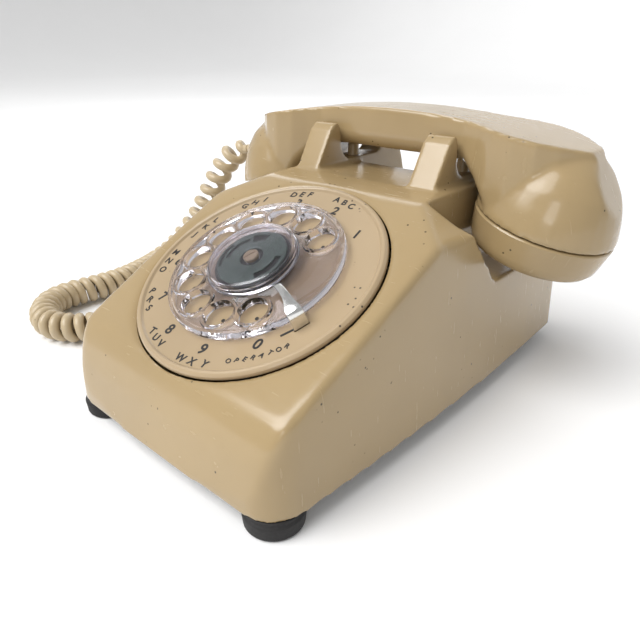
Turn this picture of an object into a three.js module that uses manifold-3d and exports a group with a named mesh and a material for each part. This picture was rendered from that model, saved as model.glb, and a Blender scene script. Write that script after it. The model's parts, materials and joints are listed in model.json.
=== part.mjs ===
// A desk telephone with a rotary dial, as an assembly of separate pieces.
// Millimetres, +Z up. The origin is on the surface the telephone stands on, under the middle of it.
// +X is the telephone's right, -Y is its front, where the dial is.
import * as THREE from "three";
import { LoftGeometry } from "three/addons/geometries/LoftGeometry.js";
import { mergeVertices } from "three/addons/utils/BufferGeometryUtils.js";
import Module from "manifold-3d";

const wasm = await Module();
wasm.setup();

// ---------- driving dimensions ----------
const GAP = 0.3; // between pieces that rest on each other
const RUN = 0.08; // radial running clearance of a shaft in its bearing

const HOUSING_DEPTH = 232.4; // front edge to rear edge at the bottom
const HOUSING_HALF_W = 75; // at the widest place of the bottom edge
const WIDEST_Y = 71.6;
const SIDE_BOW = 2.85; // how much narrower the bottom is 100 mm from the widest place
const SIDE_LEAN = 0.079; // inwards per mm of height
const FRONT_BOW = 3.5; // how far the front edge falls back 100 mm from the middle
const REAR_LEAN = 0.193;
const CORNER_R = 14;
const HOUSING_Z = 8.5; // bottom edge of the housing, above the table
const WALL = 2.6;
const LIP_TOP_Z = 28.6; // where the upright front wall starts to turn into the face
const LIP_LEAN = 3.4;
const FACE_TILT = THREE.MathUtils.degToRad(26.65);
const FACE_Y = -56; // centre of the dial on the face
const FACE_Z = 69.6;
const CREST_Y = -4; // top of the sloping face
const SHOULDER_DROP = 14; // the shoulder falls this much from the ear to the side
const SHOULDER_RUN = 28;
const LEDGE_Z = 58.6; // the ledge under each handset cap
const LEDGE_RAMP_Z = 88.5;

const EAR_X0 = 27.2; // inner face of a cradle ear
const EAR_X1 = 41.2;
const EAR_FOOT_Y = 13;
const EAR_FOOT_Z = 97.2;
const EAR_TOP_Z = 119.3;
const EAR_TOP_Y = 25.5;
const CRADLE_Y = 52.2; // centre line of the handset
const SADDLE_Z = 100;
const SADDLE_HALF = 19.9;
const WELL_Y = 50; // front wall of the hand hold behind the shelf
const WELL_Z = 66;

const PLATE_R = 56.2;
const PLATE_T = 1.6;
const PLATE_BORE_R = 11;
const WHEEL_R = 39.5;
const WHEEL_BOTTOM = 1.6; // above the number plate
const WHEEL_T = 3.4;
const HOLE_R = 6.6;
const HOLE_PITCH_R = 29.2;
const HOLE_STEP = THREE.MathUtils.degToRad(29.4);
const FIRST_HOLE = THREE.MathUtils.degToRad(47);
const HUB_R = 20.5;
const HUB_TOP = 10.4;
const STOP_ANGLE = THREE.MathUtils.degToRad(-24);
const SHAFT_R = 3;
const GEAR_MODULE = 1;
const MAIN_TEETH = 40;
const PINION_TEETH = 10;
const WORM_TEETH = 12;
const GEAR_Z = -14.5; // middle of the main gear, below the number plate
const GEAR_T = 2;

const FOOT_R = 12;
const FOOT_X = 54;
const FOOT_FRONT_Y = -103;
const FOOT_REAR_Y = 96;
const PAN_T = 1.2; // steel base plate

const CAP_X = 78.5; // centre of a handset cap's seam
const CAP_Z = 83.3;
const CAP_R = 32.5;
const CAP_H = 17;
const CAP_TILT = THREE.MathUtils.degToRad(14);
const CAP_EDGE_R = CAP_R - 1.8; // the cap's edge that comes nearest the housing
const CAP_EDGE_H = CAP_H - 6; // below the seam
const CAP_SEAT = 0.05; // between that edge and the housing
const CAP_EDGE_X = CAP_X - CAP_EDGE_H * Math.sin(CAP_TILT) - CAP_EDGE_R * Math.cos(CAP_TILT);
const LEDGE_X = CAP_EDGE_X - CAP_SEAT; // inner side of the ledge under a cap
const LEDGE_Y = CRADLE_Y - CAP_R + 6.1; // front of that ledge
const LEDGE_RAMP_Y = CRADLE_Y - CAP_R - 18.7; // where the ramp down to the ledge starts
const HANDLE_TOP = 128;
const HANDLE_END_TOP = 116.6;
const HANDLE_END_X = 95.5;
const HANDSET_HALF = 111;
const HANDLE_HALF_W = 18.5;
const HANDLE_BOTTOM = 108;

const PLUNGER_R = 3;
const FLANGE_GAP = 0.2; // between a plunger's flange and the wall beside it
const PLUNGER_FLANGE_R = (EAR_X1 - EAR_X0) / 2 - WALL - FLANGE_GAP;
const LEVER_Z = 60; // under the pressed plungers
const LEVER_PIVOT_Y = 76;

const CORD_R = 8.6; // outer radius of the curled handset cord
const CORD_SIDES = 10;
const INLET_Y = 86;
const INLET_Z = 19.5;
const INLET_R = 6;

// ---------- materials ----------
const look = (color, roughness, metalness = 0, opacity = 1) =>
  new THREE.MeshStandardMaterial({
    color,
    roughness,
    metalness,
    opacity,
    transparent: opacity < 1,
  });
const TAN = look(0xc9ab82, 0.25);
const PLATE = look(0xcdb38c, 0.4);
const CLEAR = look(0xd9d5e0, 0.08, 0, 0.35);
const CHROME = look(0xd8d8d8, 0.15, 1);
const STEEL = look(0x9a9ca0, 0.4, 1);
const BRASS = look(0xb59a5a, 0.35, 1);
const BLACK = look(0x1b1a1a, 0.6);
const RUBBER = look(0x151414, 0.85);
const CORD = look(0xb09973, 0.45);
const CARD = look(0x6f8478, 0.7);
const COPPER = look(0x9a4a26, 0.5, 0.6);

// ---------- solids ----------
function solid(geometry) {
  const bare = (geometry.index ? geometry.toNonIndexed() : geometry).clone();
  bare.deleteAttribute("normal");
  bare.deleteAttribute("uv");
  const merged = mergeVertices(bare, 1e-4);
  return new wasm.Manifold(
    new wasm.Mesh({
      numProp: 3,
      vertProperties: merged.attributes.position.array,
      triVerts: new Uint32Array(merged.index.array),
    }),
  );
}

function geometryOf(manifold) {
  const mesh = manifold.getMesh();
  const geometry = new THREE.BufferGeometry();
  const places = new Float32Array(mesh.numVert * 3);
  for (let i = 0; i < mesh.numVert; i++)
    for (let k = 0; k < 3; k++)
      places[3 * i + k] = mesh.vertProperties[mesh.numProp * i + k];
  geometry.setAttribute("position", new THREE.BufferAttribute(places, 3));
  geometry.setIndex(new THREE.BufferAttribute(new Uint32Array(mesh.triVerts), 1));
  const flat = geometry.toNonIndexed();
  flat.computeVertexNormals();
  return flat;
}

const moved = (geometry, x, y, z) => geometry.clone().translate(x, y, z);
const box = (x0, x1, y0, y1, z0, z1) =>
  moved(new THREE.BoxGeometry(x1 - x0, y1 - y0, z1 - z0), (x0 + x1) / 2, (y0 + y1) / 2, (z0 + z1) / 2);

// A cylinder along Z from z0 to z1.
function rod(radius, z0, z1, sides = 20, topRadius = radius) {
  const geometry = new THREE.CylinderGeometry(topRadius, radius, z1 - z0, sides);
  geometry.rotateX(Math.PI / 2);
  return geometry.translate(0, 0, (z0 + z1) / 2);
}

// A turned solid about Z. The profile is a list of [radius, z] that closes on itself or on the axis.
function turned(profile, sides = 28) {
  const points = profile.map(([r, z]) => new THREE.Vector2(r, z));
  return new THREE.LatheGeometry(points, sides).rotateX(Math.PI / 2);
}

// A flat ring about Z.
const washer = (innerR, outerR, z0, z1, sides) =>
  turned([[innerR, z0], [outerR, z0], [outerR, z1], [innerR, z1], [innerR, z0]], sides);

const outline = (points) => new THREE.Shape(points.map(([x, y]) => new THREE.Vector2(x, y)));

// An outline in X and Y, pulled up from z0 to z1.
function plate(shape, z0, z1, curveSegments = 8) {
  const options = { depth: z1 - z0, bevelEnabled: false, curveSegments };
  return new THREE.ExtrudeGeometry(shape, options).translate(0, 0, z0);
}

// An outline in Y and Z, pulled along X from x0 to x1.
function slabX(points, x0, x1) {
  const geometry = plate(outline(points), x0, x1);
  const turn = new THREE.Matrix4().set(0, 0, 1, 0, 1, 0, 0, 0, 0, 1, 0, 0, 0, 0, 0, 1);
  return geometry.applyMatrix4(turn);
}

// An outline in X and Z, pulled along Y from y0 to y1.
function slabY(points, y0, y1) {
  return plate(outline(points), 0, y1 - y0).rotateX(Math.PI / 2).translate(0, y1, 0);
}

function joined(...geometries) {
  return geometries.map(solid).reduce((sum, next) => sum.add(next));
}

const root = new THREE.Group();

function piece(name, shape, material, parent = root) {
  const geometry = shape instanceof THREE.BufferGeometry ? shape : geometryOf(shape);
  const mesh = new THREE.Mesh(geometry, material);
  mesh.name = name;
  parent.add(mesh);
  return mesh;
}

// ---------- housing ----------
const FRONT_Y = -HOUSING_DEPTH / 2;
const REAR_Y = HOUSING_DEPTH / 2;
const LOFT_TOP = 125;
const FAR = 140; // beyond every outside face
const EAR_MID_X = (EAR_X0 + EAR_X1) / 2;
const PAN_Z0 = HOUSING_Z + GAP;
const PAN_Z1 = PAN_Z0 + PAN_T;
const BOSS_R = 4.5;
const BOSS_YS = [FRONT_Y + 9, REAR_Y - 9];
const SCREW_R = 1.5;
const SCREW_HEAD_R = 3.4;
const LINE_HOLE_R = 4.5; // where the line cord comes in
const LINE_HOLE_X = 24;
const LINE_HOLE_Z = 18;
const FACE_SLOPE = Math.tan(FACE_TILT);
const faceZ = (y) => FACE_Z + (y - FACE_Y) * FACE_SLOPE;
const halfWidth = (y) => HOUSING_HALF_W - SIDE_BOW * ((y - WIDEST_Y) / 100) ** 2;

// One level ring of the housing's outside, moved inwards by inset.
function ring(z, inset, cornerR = CORNER_R) {
  const up = z - HOUSING_Z;
  const half = HOUSING_HALF_W - inset;
  const y0 = FRONT_Y + inset;
  const y1 = REAR_Y - inset;
  const corner = new THREE.Shape();
  const r = Math.max(cornerR - inset, 2);
  corner.moveTo(half, y0 + r);
  for (let i = 1; i < 6; i++) corner.lineTo(half, y0 + r + ((y1 - y0 - 2 * r) * i) / 6);
  corner.lineTo(half, y1 - r);
  corner.absarc(half - r, y1 - r, r, 0, Math.PI / 2);
  corner.lineTo(0, y1);
  corner.absarc(-half + r, y1 - r, r, Math.PI / 2, Math.PI);
  for (let i = 1; i < 6; i++) corner.lineTo(-half, y1 - r - ((y1 - y0 - 2 * r) * i) / 6);
  corner.absarc(-half + r, y0 + r, r, Math.PI, 1.5 * Math.PI);
  for (let i = 1; i < 6; i++) corner.lineTo(-half + r + ((2 * half - 2 * r) * i) / 6, y0);
  corner.absarc(half - r, y0 + r, r, 1.5 * Math.PI, 2 * Math.PI);
  const flat = corner.getPoints(5);
  const last = flat[flat.length - 1];
  if (last.distanceTo(flat[0]) < 1e-6) flat.pop();
  return flat.map((p) => {
    const narrow = (halfWidth(p.y) - inset - SIDE_LEAN * up) / half;
    const bow = p.y < 0 ? FRONT_BOW * (p.x / 100) ** 2 : 0;
    return new THREE.Vector3(p.x * narrow, p.y + bow, z);
  });
}

function ringLoft(z0, z1, inset) {
  const sections = [ring(z0, inset), ring(z1, inset)];
  return new LoftGeometry(sections, { capStart: true, capEnd: true });
}

// Moves each side of a polygon inwards by distance; the points run anticlockwise.
function insetOutline(points, distance) {
  const count = points.length;
  return points.map((p, i) => {
    const before = new THREE.Vector2(...points[(i + count - 1) % count]);
    const here = new THREE.Vector2(...p);
    const after = new THREE.Vector2(...points[(i + 1) % count]);
    const a = here.clone().sub(before).normalize();
    const b = after.clone().sub(here).normalize();
    const na = new THREE.Vector2(-a.y, a.x);
    const nb = new THREE.Vector2(-b.y, b.x);
    const middle = na.add(nb);
    const scale = (2 * distance) / middle.lengthSq();
    return [here.x + middle.x * scale, here.y + middle.y * scale];
  });
}

const BACK_TOP_Y = 2 * CRADLE_Y - EAR_FOOT_Y;
const rearY = (z) => REAR_Y - (z - HOUSING_Z) * REAR_LEAN;
const frontWallY = (z) => FRONT_Y + ((z - HOUSING_Z) * LIP_LEAN) / (LIP_TOP_Z - HOUSING_Z);
const sideOutline = (bottomZ) => [
  [frontWallY(bottomZ), bottomZ],
  [rearY(bottomZ), bottomZ],
  [rearY(LEDGE_Z), LEDGE_Z],
  [BACK_TOP_Y, EAR_FOOT_Z],
  [EAR_FOOT_Y, EAR_FOOT_Z],
  [CREST_Y, faceZ(CREST_Y)],
  [FRONT_Y + 11.2, faceZ(FRONT_Y + 11.2)],
  [FRONT_Y + 6.4, LIP_TOP_Z + 8.6],
  [FRONT_Y + LIP_LEAN, LIP_TOP_Z],
];
const LEDGE_OUTLINE = [
  [LEDGE_RAMP_Y, FAR],
  [LEDGE_RAMP_Y, LEDGE_RAMP_Z],
  [LEDGE_Y, LEDGE_Z],
  [FAR, LEDGE_Z - 1],
  [FAR, FAR],
];
const SHOULDER_OUTLINE = [
  [EAR_X1, EAR_FOOT_Z + 1],
  [EAR_X1 + SHOULDER_RUN, EAR_FOOT_Z + 1 - SHOULDER_DROP],
  [FAR, EAR_FOOT_Z - SHOULDER_DROP - 22],
  [FAR, FAR],
  [EAR_X1, FAR],
];
const mirrorX = (points) => points.map(([x, z]) => [-x, z]).reverse();

// The housing as a full body, every wall moved inwards by inset.
function housingBody(inset) {
  const low = inset ? HOUSING_Z - 6 - inset : HOUSING_Z;
  const side = insetOutline(sideOutline(low), inset);
  let body = solid(ringLoft(low, LOFT_TOP, inset)).intersect(solid(slabX(side, -FAR, FAR)));
  const ledge = insetOutline(LEDGE_OUTLINE, -inset);
  const shoulder = insetOutline(SHOULDER_OUTLINE, -inset);
  body = body
    .subtract(solid(slabX(ledge, LEDGE_X - inset, FAR)))
    .subtract(solid(slabX(ledge, -FAR, -LEDGE_X + inset)))
    .subtract(solid(slabY(shoulder, -40, FAR)))
    .subtract(solid(slabY(mirrorX(shoulder), -40, FAR)));
  const well = box(-EAR_X0 - inset, EAR_X0 + inset, WELL_Y - inset, FAR, WELL_Z - inset, FAR);
  return body.subtract(solid(well));
}

// One U-shaped cradle ear, front horn to rear horn.
function ear(side) {
  const half = [
    [EAR_FOOT_Y - 3, EAR_FOOT_Z - 7],
    [EAR_FOOT_Y, EAR_FOOT_Z],
    [EAR_TOP_Y - 1.8, EAR_TOP_Z - 3.4],
    [EAR_TOP_Y + 1.2, EAR_TOP_Z - 0.6],
    [EAR_TOP_Y + 4, EAR_TOP_Z],
    [CRADLE_Y - SADDLE_HALF - 1.2, EAR_TOP_Z - 1.6],
    [CRADLE_Y - SADDLE_HALF, EAR_TOP_Z - 5],
    [CRADLE_Y - SADDLE_HALF + 0.4, SADDLE_Z + 8],
    [CRADLE_Y - SADDLE_HALF + 2.6, SADDLE_Z + 3],
    [CRADLE_Y - SADDLE_HALF + 7, SADDLE_Z],
  ];
  const back = half.map(([y, z]) => [2 * CRADLE_Y - y, z]).reverse();
  const points = [...half, ...back].reverse();
  const x0 = side > 0 ? EAR_X0 : -EAR_X1;
  return slabX(points, x0, x0 + EAR_X1 - EAR_X0);
}

function onFace(geometry) {
  return geometry.clone().rotateX(FACE_TILT).translate(0, FACE_Y, FACE_Z);
}

function housing() {
  let shell = housingBody(0).subtract(housingBody(WALL));
  for (const side of [-1, 1]) {
    shell = shell.add(solid(ear(side)));
    const bore = moved(rod(PLUNGER_R + RUN, WELL_Z, FAR, 16), side * EAR_MID_X, CRADLE_Y, 0);
    shell = shell.subtract(solid(bore));
  }
  shell = shell.subtract(solid(onFace(rod(PLATE_R + 0.4, -14, 12, 64))));
  const cordHole = rod(INLET_R + GAP, -6, 6, 16).rotateY(Math.PI / 2);
  shell = shell.subtract(solid(moved(cordHole, -halfWidth(INLET_Y), INLET_Y, INLET_Z)));
  const lineHole = rod(LINE_HOLE_R + GAP, -8, 8, 16).rotateX(Math.PI / 2);
  shell = shell.subtract(solid(moved(lineHole, LINE_HOLE_X, REAR_Y - WALL, LINE_HOLE_Z)));
  for (const y of BOSS_YS) {
    const boss = moved(rod(BOSS_R, PAN_Z1 + GAP, HOUSING_Z + 16, 16), 0, y, 0);
    shell = shell.add(solid(boss));
    shell = shell.subtract(solid(moved(rod(SCREW_R + 0.2, 0, HOUSING_Z + 12, 12), 0, y, 0)));
  }
  return shell;
}

piece("housing_shell", housing(), TAN);

// ---------- base plate, feet, screws ----------
const PAN_INSET = WALL + 0.6;
const feet = [
  ["foot_front_left", -FOOT_X, FOOT_FRONT_Y],
  ["foot_front_right", FOOT_X, FOOT_FRONT_Y],
  ["foot_rear_left", -FOOT_X, FOOT_REAR_Y],
  ["foot_rear_right", FOOT_X, FOOT_REAR_Y],
];
const VOLUME_X = 34;
const VOLUME_Y = -34;
const VOLUME_R = 8;
const VOLUME_Z = PAN_Z1 + 4.6;

function basePlate() {
  let pan = solid(ringLoft(PAN_Z0, PAN_Z1, PAN_INSET));
  const slot = box(VOLUME_X - 2.4, VOLUME_X + 2.4, VOLUME_Y - 8, VOLUME_Y + 8, 0, 20);
  pan = pan.subtract(solid(slot));
  for (const y of BOSS_YS)
    pan = pan.subtract(solid(moved(rod(SCREW_R + 0.7, 0, 20, 12), 0, y, 0)));
  return pan;
}
piece("base_plate", basePlate(), STEEL);

for (const [name, x, y] of feet) {
  const foot = turned([
    [0, 0],
    [FOOT_R - 2, 0],
    [FOOT_R - 0.6, 1],
    [FOOT_R, HOUSING_Z],
    [0, HOUSING_Z],
  ], 18);
  piece(name, foot, RUBBER).position.set(x, y, 0);
}

const screwShape = turned([
  [0, HOUSING_Z - 2.2],
  [SCREW_HEAD_R, HOUSING_Z - 2.2],
  [SCREW_HEAD_R, PAN_Z0 - GAP],
  [SCREW_R, PAN_Z0 - GAP],
  [SCREW_R, HOUSING_Z + 9],
  [0, HOUSING_Z + 9],
], 8);
["housing_screw_front", "housing_screw_rear"].forEach((name, i) =>
  piece(name, screwShape, STEEL).position.set(0, BOSS_YS[i], 0));

// ---------- dial ----------
const dial = new THREE.Group();
dial.position.set(0, FACE_Y, FACE_Z);
dial.rotation.x = FACE_TILT;
root.add(dial);

const STOP_LEG_R = 43.2;
const STOP_W = 6;
const STOP_T = 1.1;
const STOP_TOP = WHEEL_BOTTOM + WHEEL_T + 2.6;

function numberPlate() {
  const shape = new THREE.Shape().absarc(0, 0, PLATE_R, 0, 2 * Math.PI);
  shape.holes.push(new THREE.Path().absarc(0, 0, PLATE_BORE_R, 0, 2 * Math.PI));
  const disc = solid(plate(shape, -PLATE_T, 0, 28));
  const reach = STOP_T / 2 + GAP;
  const slot = box(STOP_LEG_R - reach, STOP_LEG_R + reach, -STOP_W / 2 - GAP, STOP_W / 2 + GAP, -5, 5);
  return disc.subtract(solid(slot.rotateZ(STOP_ANGLE)));
}
piece("number_plate", numberPlate(), PLATE, dial);

function fingerWheel() {
  const shape = new THREE.Shape().absarc(0, 0, WHEEL_R, 0, 2 * Math.PI);
  for (let k = 0; k < 10; k++) {
    const angle = FIRST_HOLE + k * HOLE_STEP;
    const x = HOLE_PITCH_R * Math.cos(angle);
    const y = HOLE_PITCH_R * Math.sin(angle);
    shape.holes.push(new THREE.Path().absarc(x, y, HOLE_R, 0, 2 * Math.PI));
  }
  shape.holes.push(new THREE.Path().absarc(0, 0, SHAFT_R + GAP, 0, 2 * Math.PI));
  return plate(shape, WHEEL_BOTTOM, WHEEL_BOTTOM + WHEEL_T, 9);
}
piece("finger_wheel", fingerWheel(), CLEAR, dial);

const WHEEL_TOP = WHEEL_BOTTOM + WHEEL_T;
const CLIP_Z = WHEEL_TOP + GAP;
const CLIP_T = 0.9;
const CLIP_R = 17;
const CARD_R = 15.5;
const BUTTON_R = 4.2;
const SHAFT_TOP = CLIP_Z + CLIP_T + 0.3;
piece("wheel_clip", washer(SHAFT_R + GAP, CLIP_R, CLIP_Z, CLIP_Z + CLIP_T, 24), STEEL, dial);
const CARD_Z = SHAFT_TOP + GAP;
const CARD_T = 0.6;
const BUTTON_Z = CARD_Z + CARD_T + GAP;
piece("hub_card", rod(CARD_R, CARD_Z, CARD_Z + CARD_T, 24), CARD, dial);
const button = turned([
  [0, BUTTON_Z],
  [BUTTON_R, BUTTON_Z],
  [BUTTON_R - 0.2, BUTTON_Z + 1],
  [0, BUTTON_Z + 1.3],
], 16);
piece("hub_button", button, PLATE, dial);
const COVER_IN_R = HUB_R - 1.4;
const hubCover = turned([
  [COVER_IN_R, CLIP_Z],
  [HUB_R, CLIP_Z],
  [HUB_R, HUB_TOP - 0.8],
  [HUB_R - 0.8, HUB_TOP],
  [0, HUB_TOP],
  [0, HUB_TOP - 1.2],
  [COVER_IN_R, HUB_TOP - 1.2],
  [COVER_IN_R, CLIP_Z],
], 24);
piece("hub_cover", hubCover, CLEAR, dial);

const FRAME_R = 50;
const FRAME_TOP = -PLATE_T - GAP;
const FRAME_UNDER = -5.5;
const BOSS_BOTTOM = -12;
const BOSS_TOP = 0.2;
const SHAFT_FLANGE = 8;
const GEAR_Z0 = GEAR_Z - GEAR_T / 2;
const dialFrame = turned([
  [SHAFT_R + RUN, BOSS_BOTTOM],
  [7, BOSS_BOTTOM],
  [7, FRAME_UNDER],
  [FRAME_R, FRAME_UNDER],
  [FRAME_R, FRAME_TOP],
  [FRAME_R - 9, FRAME_TOP],
  [FRAME_R - 9, -4],
  [9, -4],
  [9, BOSS_TOP],
  [SHAFT_R + RUN, BOSS_TOP],
  [SHAFT_R + RUN, BOSS_BOTTOM],
], 24);
piece("dial_frame", dialFrame, STEEL, dial);
const mainShaft = turned([
  [0, GEAR_Z0 - 1.5],
  [SHAFT_R, GEAR_Z0 - 1.5],
  [SHAFT_R, BOSS_TOP + GAP],
  [SHAFT_FLANGE, BOSS_TOP + GAP],
  [SHAFT_FLANGE, WHEEL_BOTTOM - GAP],
  [SHAFT_R, WHEEL_BOTTOM - GAP],
  [SHAFT_R, SHAFT_TOP],
  [0, SHAFT_TOP],
], 20);
piece("main_shaft", mainShaft, STEEL, dial);
piece("motor_spring", washer(8.5, 12.5, BOSS_BOTTOM + 0.6, FRAME_UNDER - GAP, 20), STEEL, dial);

// A spur gear with thin straight-sided teeth. A tooth is centred on the angle phase.
function gear(teeth, module, boreR, z0, z1, phase) {
  const pitchR = (teeth * module) / 2;
  const tipR = pitchR + 0.62 * module;
  const rootR = pitchR - 0.95 * module;
  const step = (2 * Math.PI) / teeth;
  const shape = new THREE.Shape();
  for (let k = 0; k < teeth; k++) {
    const middle = phase + k * step;
    const corners = [[rootR, -0.25], [tipR, -0.09], [tipR, 0.09], [rootR, 0.25]];
    for (const [r, share] of corners) {
      const angle = middle + share * step;
      const x = r * Math.cos(angle);
      const y = r * Math.sin(angle);
      if (k === 0 && share === -0.25) shape.moveTo(x, y);
      else shape.lineTo(x, y);
    }
  }
  shape.closePath();
  shape.holes.push(new THREE.Path().absarc(0, 0, boreR, 0, 2 * Math.PI));
  return plate(shape, z0, z1, 8);
}

// The pulse shaft stands up the slope from the main shaft, and the governor lies beyond it.
const UP = Math.PI / 2;
const PULSE_Y = ((MAIN_TEETH + PINION_TEETH) * GEAR_MODULE) / 2;
const PIN_R = 1.5;
const BRIDGE_TOP = -22.4;
const BRIDGE_T = 1.4;
const WORM_Z = -19.4;
const WORM_WHEEL_R = (WORM_TEETH * GEAR_MODULE) / 2 + 1;
const WORM_R = 2.2;
const WORM_Y = PULSE_Y + WORM_WHEEL_R + WORM_R + 0.5;
const mainGear = gear(MAIN_TEETH, GEAR_MODULE, SHAFT_R + GAP, GEAR_Z0, GEAR_Z0 + GEAR_T, UP);
piece("main_gear", mainGear, BRASS, dial);

const pulse = new THREE.Group();
pulse.position.set(0, PULSE_Y, 0);
dial.add(pulse);
piece("pulse_shaft", rod(PIN_R, BRIDGE_TOP + GAP, FRAME_UNDER - GAP, 12), STEEL, pulse);
const pinionPhase = -UP + Math.PI / PINION_TEETH;
const PINION_Z0 = GEAR_Z0 - 0.4;
const PINION_Z1 = GEAR_Z0 + GEAR_T + 0.4;
const pinion = gear(PINION_TEETH, GEAR_MODULE, PIN_R + GAP, PINION_Z0, PINION_Z1, pinionPhase);
piece("pulse_pinion", pinion, BRASS, pulse);
const wormWheel = turned([
  [PIN_R + GAP, WORM_Z - 1],
  [WORM_WHEEL_R, WORM_Z - 1],
  [WORM_WHEEL_R - 0.4, WORM_Z],
  [WORM_WHEEL_R, WORM_Z + 1],
  [PIN_R + GAP, WORM_Z + 1],
  [PIN_R + GAP, WORM_Z - 1],
], 24);
piece("worm_wheel", wormWheel, BLACK, pulse);

function pulseCam() {
  const shape = new THREE.Shape();
  const corners = 24;
  for (let k = 0; k < corners; k++) {
    const angle = (2 * Math.PI * k) / corners;
    const r = 4.6 + 0.8 * Math.cos(3 * angle);
    if (k) shape.lineTo(r * Math.cos(angle), r * Math.sin(angle));
    else shape.moveTo(r, 0);
  }
  shape.closePath();
  shape.holes.push(new THREE.Path().absarc(0, 0, PIN_R + GAP, 0, 2 * Math.PI));
  return plate(shape, -11, -9.4, 4);
}
piece("pulse_cam", pulseCam(), BLACK, pulse);

const CONTACT_X = 6.2;
piece("pulse_contacts", joined(
  box(-CONTACT_X - 14, -CONTACT_X - 4.4, PULSE_Y + 2, PULSE_Y + 10, -12, FRAME_UNDER - GAP),
  box(-CONTACT_X - 4.6, -CONTACT_X, PULSE_Y + 7, PULSE_Y + 7.5, -11.2, -9),
  box(-CONTACT_X - 0.5, -CONTACT_X, PULSE_Y - 5, PULSE_Y + 7.3, -11.2, -9),
), BRASS, dial);

const GOV_X = 9.5;
const GOV_CUP_R = 8.6;
const GOV_PIN_R = 1.2;
function gearBridge() {
  const deck = box(-10, 22, PULSE_Y - 5, WORM_Y + 4, BRIDGE_TOP - BRIDGE_T, BRIDGE_TOP);
  const pillars = [[-8, PULSE_Y + 14], [14, PULSE_Y - 3]].map(([x, y]) =>
    moved(rod(1.8, BRIDGE_TOP - 0.5, FRAME_UNDER - GAP, 10), x, y, 0));
  const cheek = (x) => box(x, x + 1.2, WORM_Y - 3, WORM_Y + 3, BRIDGE_TOP - 0.5, WORM_Z + 2.6);
  let bridge = joined(deck, ...pillars, cheek(-7.5), cheek(6.2));
  const atWorm = (geometry) => moved(geometry.rotateY(Math.PI / 2), 0, WORM_Y, WORM_Z);
  bridge = bridge.subtract(solid(atWorm(rod(GOV_PIN_R + RUN, -20, 20, 10))));
  const room = atWorm(rod(GOV_CUP_R + GAP, GOV_X - 1, GOV_X + 9, 20));
  return bridge.subtract(solid(room));
}
piece("gear_bridge", gearBridge(), STEEL, dial);

const governor = new THREE.Group();
governor.position.set(0, WORM_Y, WORM_Z);
governor.rotation.y = Math.PI / 2;
dial.add(governor);
piece("governor_shaft", joined(rod(GOV_PIN_R, -9.5, 17, 10), rod(WORM_R, -5, 5, 14)), STEEL, governor);
piece("governor_weights", joined(
  washer(GOV_PIN_R + GAP, 3, GOV_X + 2, GOV_X + 5, 14),
  box(2.6, 6.6, -1.2, 1.2, GOV_X + 2.5, GOV_X + 4.5),
  box(-6.6, -2.6, -1.2, 1.2, GOV_X + 2.5, GOV_X + 4.5),
), BRASS, governor);
const governorCup = turned([
  [GOV_PIN_R + RUN, GOV_X],
  [GOV_CUP_R, GOV_X],
  [GOV_CUP_R, GOV_X + 6.5],
  [GOV_CUP_R - 1, GOV_X + 6.5],
  [GOV_CUP_R - 1, GOV_X + 1],
  [GOV_PIN_R + RUN, GOV_X + 1],
  [GOV_PIN_R + RUN, GOV_X],
], 14);
piece("governor_cup", governorCup, STEEL, governor);

const stopOutline = [
  [STOP_LEG_R - STOP_T / 2, -PLATE_T],
  [STOP_LEG_R + STOP_T / 2, -PLATE_T],
  [STOP_LEG_R + STOP_T / 2, STOP_TOP - 1.2],
  [STOP_LEG_R - 1.2, STOP_TOP + STOP_T],
  [32, STOP_TOP + STOP_T + 1],
  [25, STOP_TOP + STOP_T],
  [22.6, STOP_TOP - 0.8],
  [23.4, STOP_TOP - 1.4],
  [25.6, STOP_TOP],
  [32, STOP_TOP + 1],
  [STOP_LEG_R - 1.8, STOP_TOP],
  [STOP_LEG_R - STOP_T / 2, STOP_TOP - 1.2],
].reverse();
const stop = slabY(stopOutline, -STOP_W / 2, STOP_W / 2).rotateZ(STOP_ANGLE);
piece("finger_stop", stop, CHROME, dial);

const SUPPORT_X = 46;
const supportTop = (y) => faceZ(y) + (FRAME_UNDER - GAP) / Math.cos(FACE_TILT);
const supportOutline = [
  [-66, PAN_Z1 + GAP],
  [-46, PAN_Z1 + GAP],
  [-46, supportTop(-46)],
  [-66, supportTop(-66)],
];
piece("dial_support_left", slabX(supportOutline, -SUPPORT_X - 1.6, -SUPPORT_X), STEEL);
piece("dial_support_right", slabX(supportOutline, SUPPORT_X, SUPPORT_X + 1.6), STEEL);

// ---------- ringer ----------
const GONG_X = 24.5;
const GONG_Y = -84;
const GONG_R = 20;
const GONG_TOP = 27;
const GONG_T = 1.2;
const GONG_UNDER = GONG_TOP - GONG_T;
const POST_PIN_R = 2;
for (const [name, side] of [["left", -1], ["right", 1]]) {
  const gong = turned([
    [POST_PIN_R + GAP, GONG_UNDER],
    [12, GONG_UNDER],
    [16.6, GONG_TOP - 3.4],
    [GONG_R - GONG_T, GONG_TOP - 13],
    [GONG_R, GONG_TOP - 13],
    [18, GONG_TOP - 3],
    [12.6, GONG_TOP],
    [POST_PIN_R + GAP, GONG_TOP],
    [POST_PIN_R + GAP, GONG_UNDER],
  ], 18);
  piece("gong_" + name, gong, BRASS).position.set(side * GONG_X, GONG_Y, 0);
  const post = turned([
    [0, PAN_Z1 + GAP],
    [5, PAN_Z1 + GAP],
    [5, PAN_Z1 + 1.5],
    [3, PAN_Z1 + 1.5],
    [3, GONG_UNDER - GAP],
    [POST_PIN_R, GONG_UNDER - GAP],
    [POST_PIN_R, GONG_TOP + GAP],
    [4, GONG_TOP + GAP],
    [3.6, GONG_TOP + 2],
    [0, GONG_TOP + 2],
  ], 8);
  piece("gong_post_" + name, post, STEEL).position.set(side * GONG_X, GONG_Y, 0);
}
const COIL_Z = 20;
const COIL_R = 7.2;
const PIVOT_Y = -64;
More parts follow.
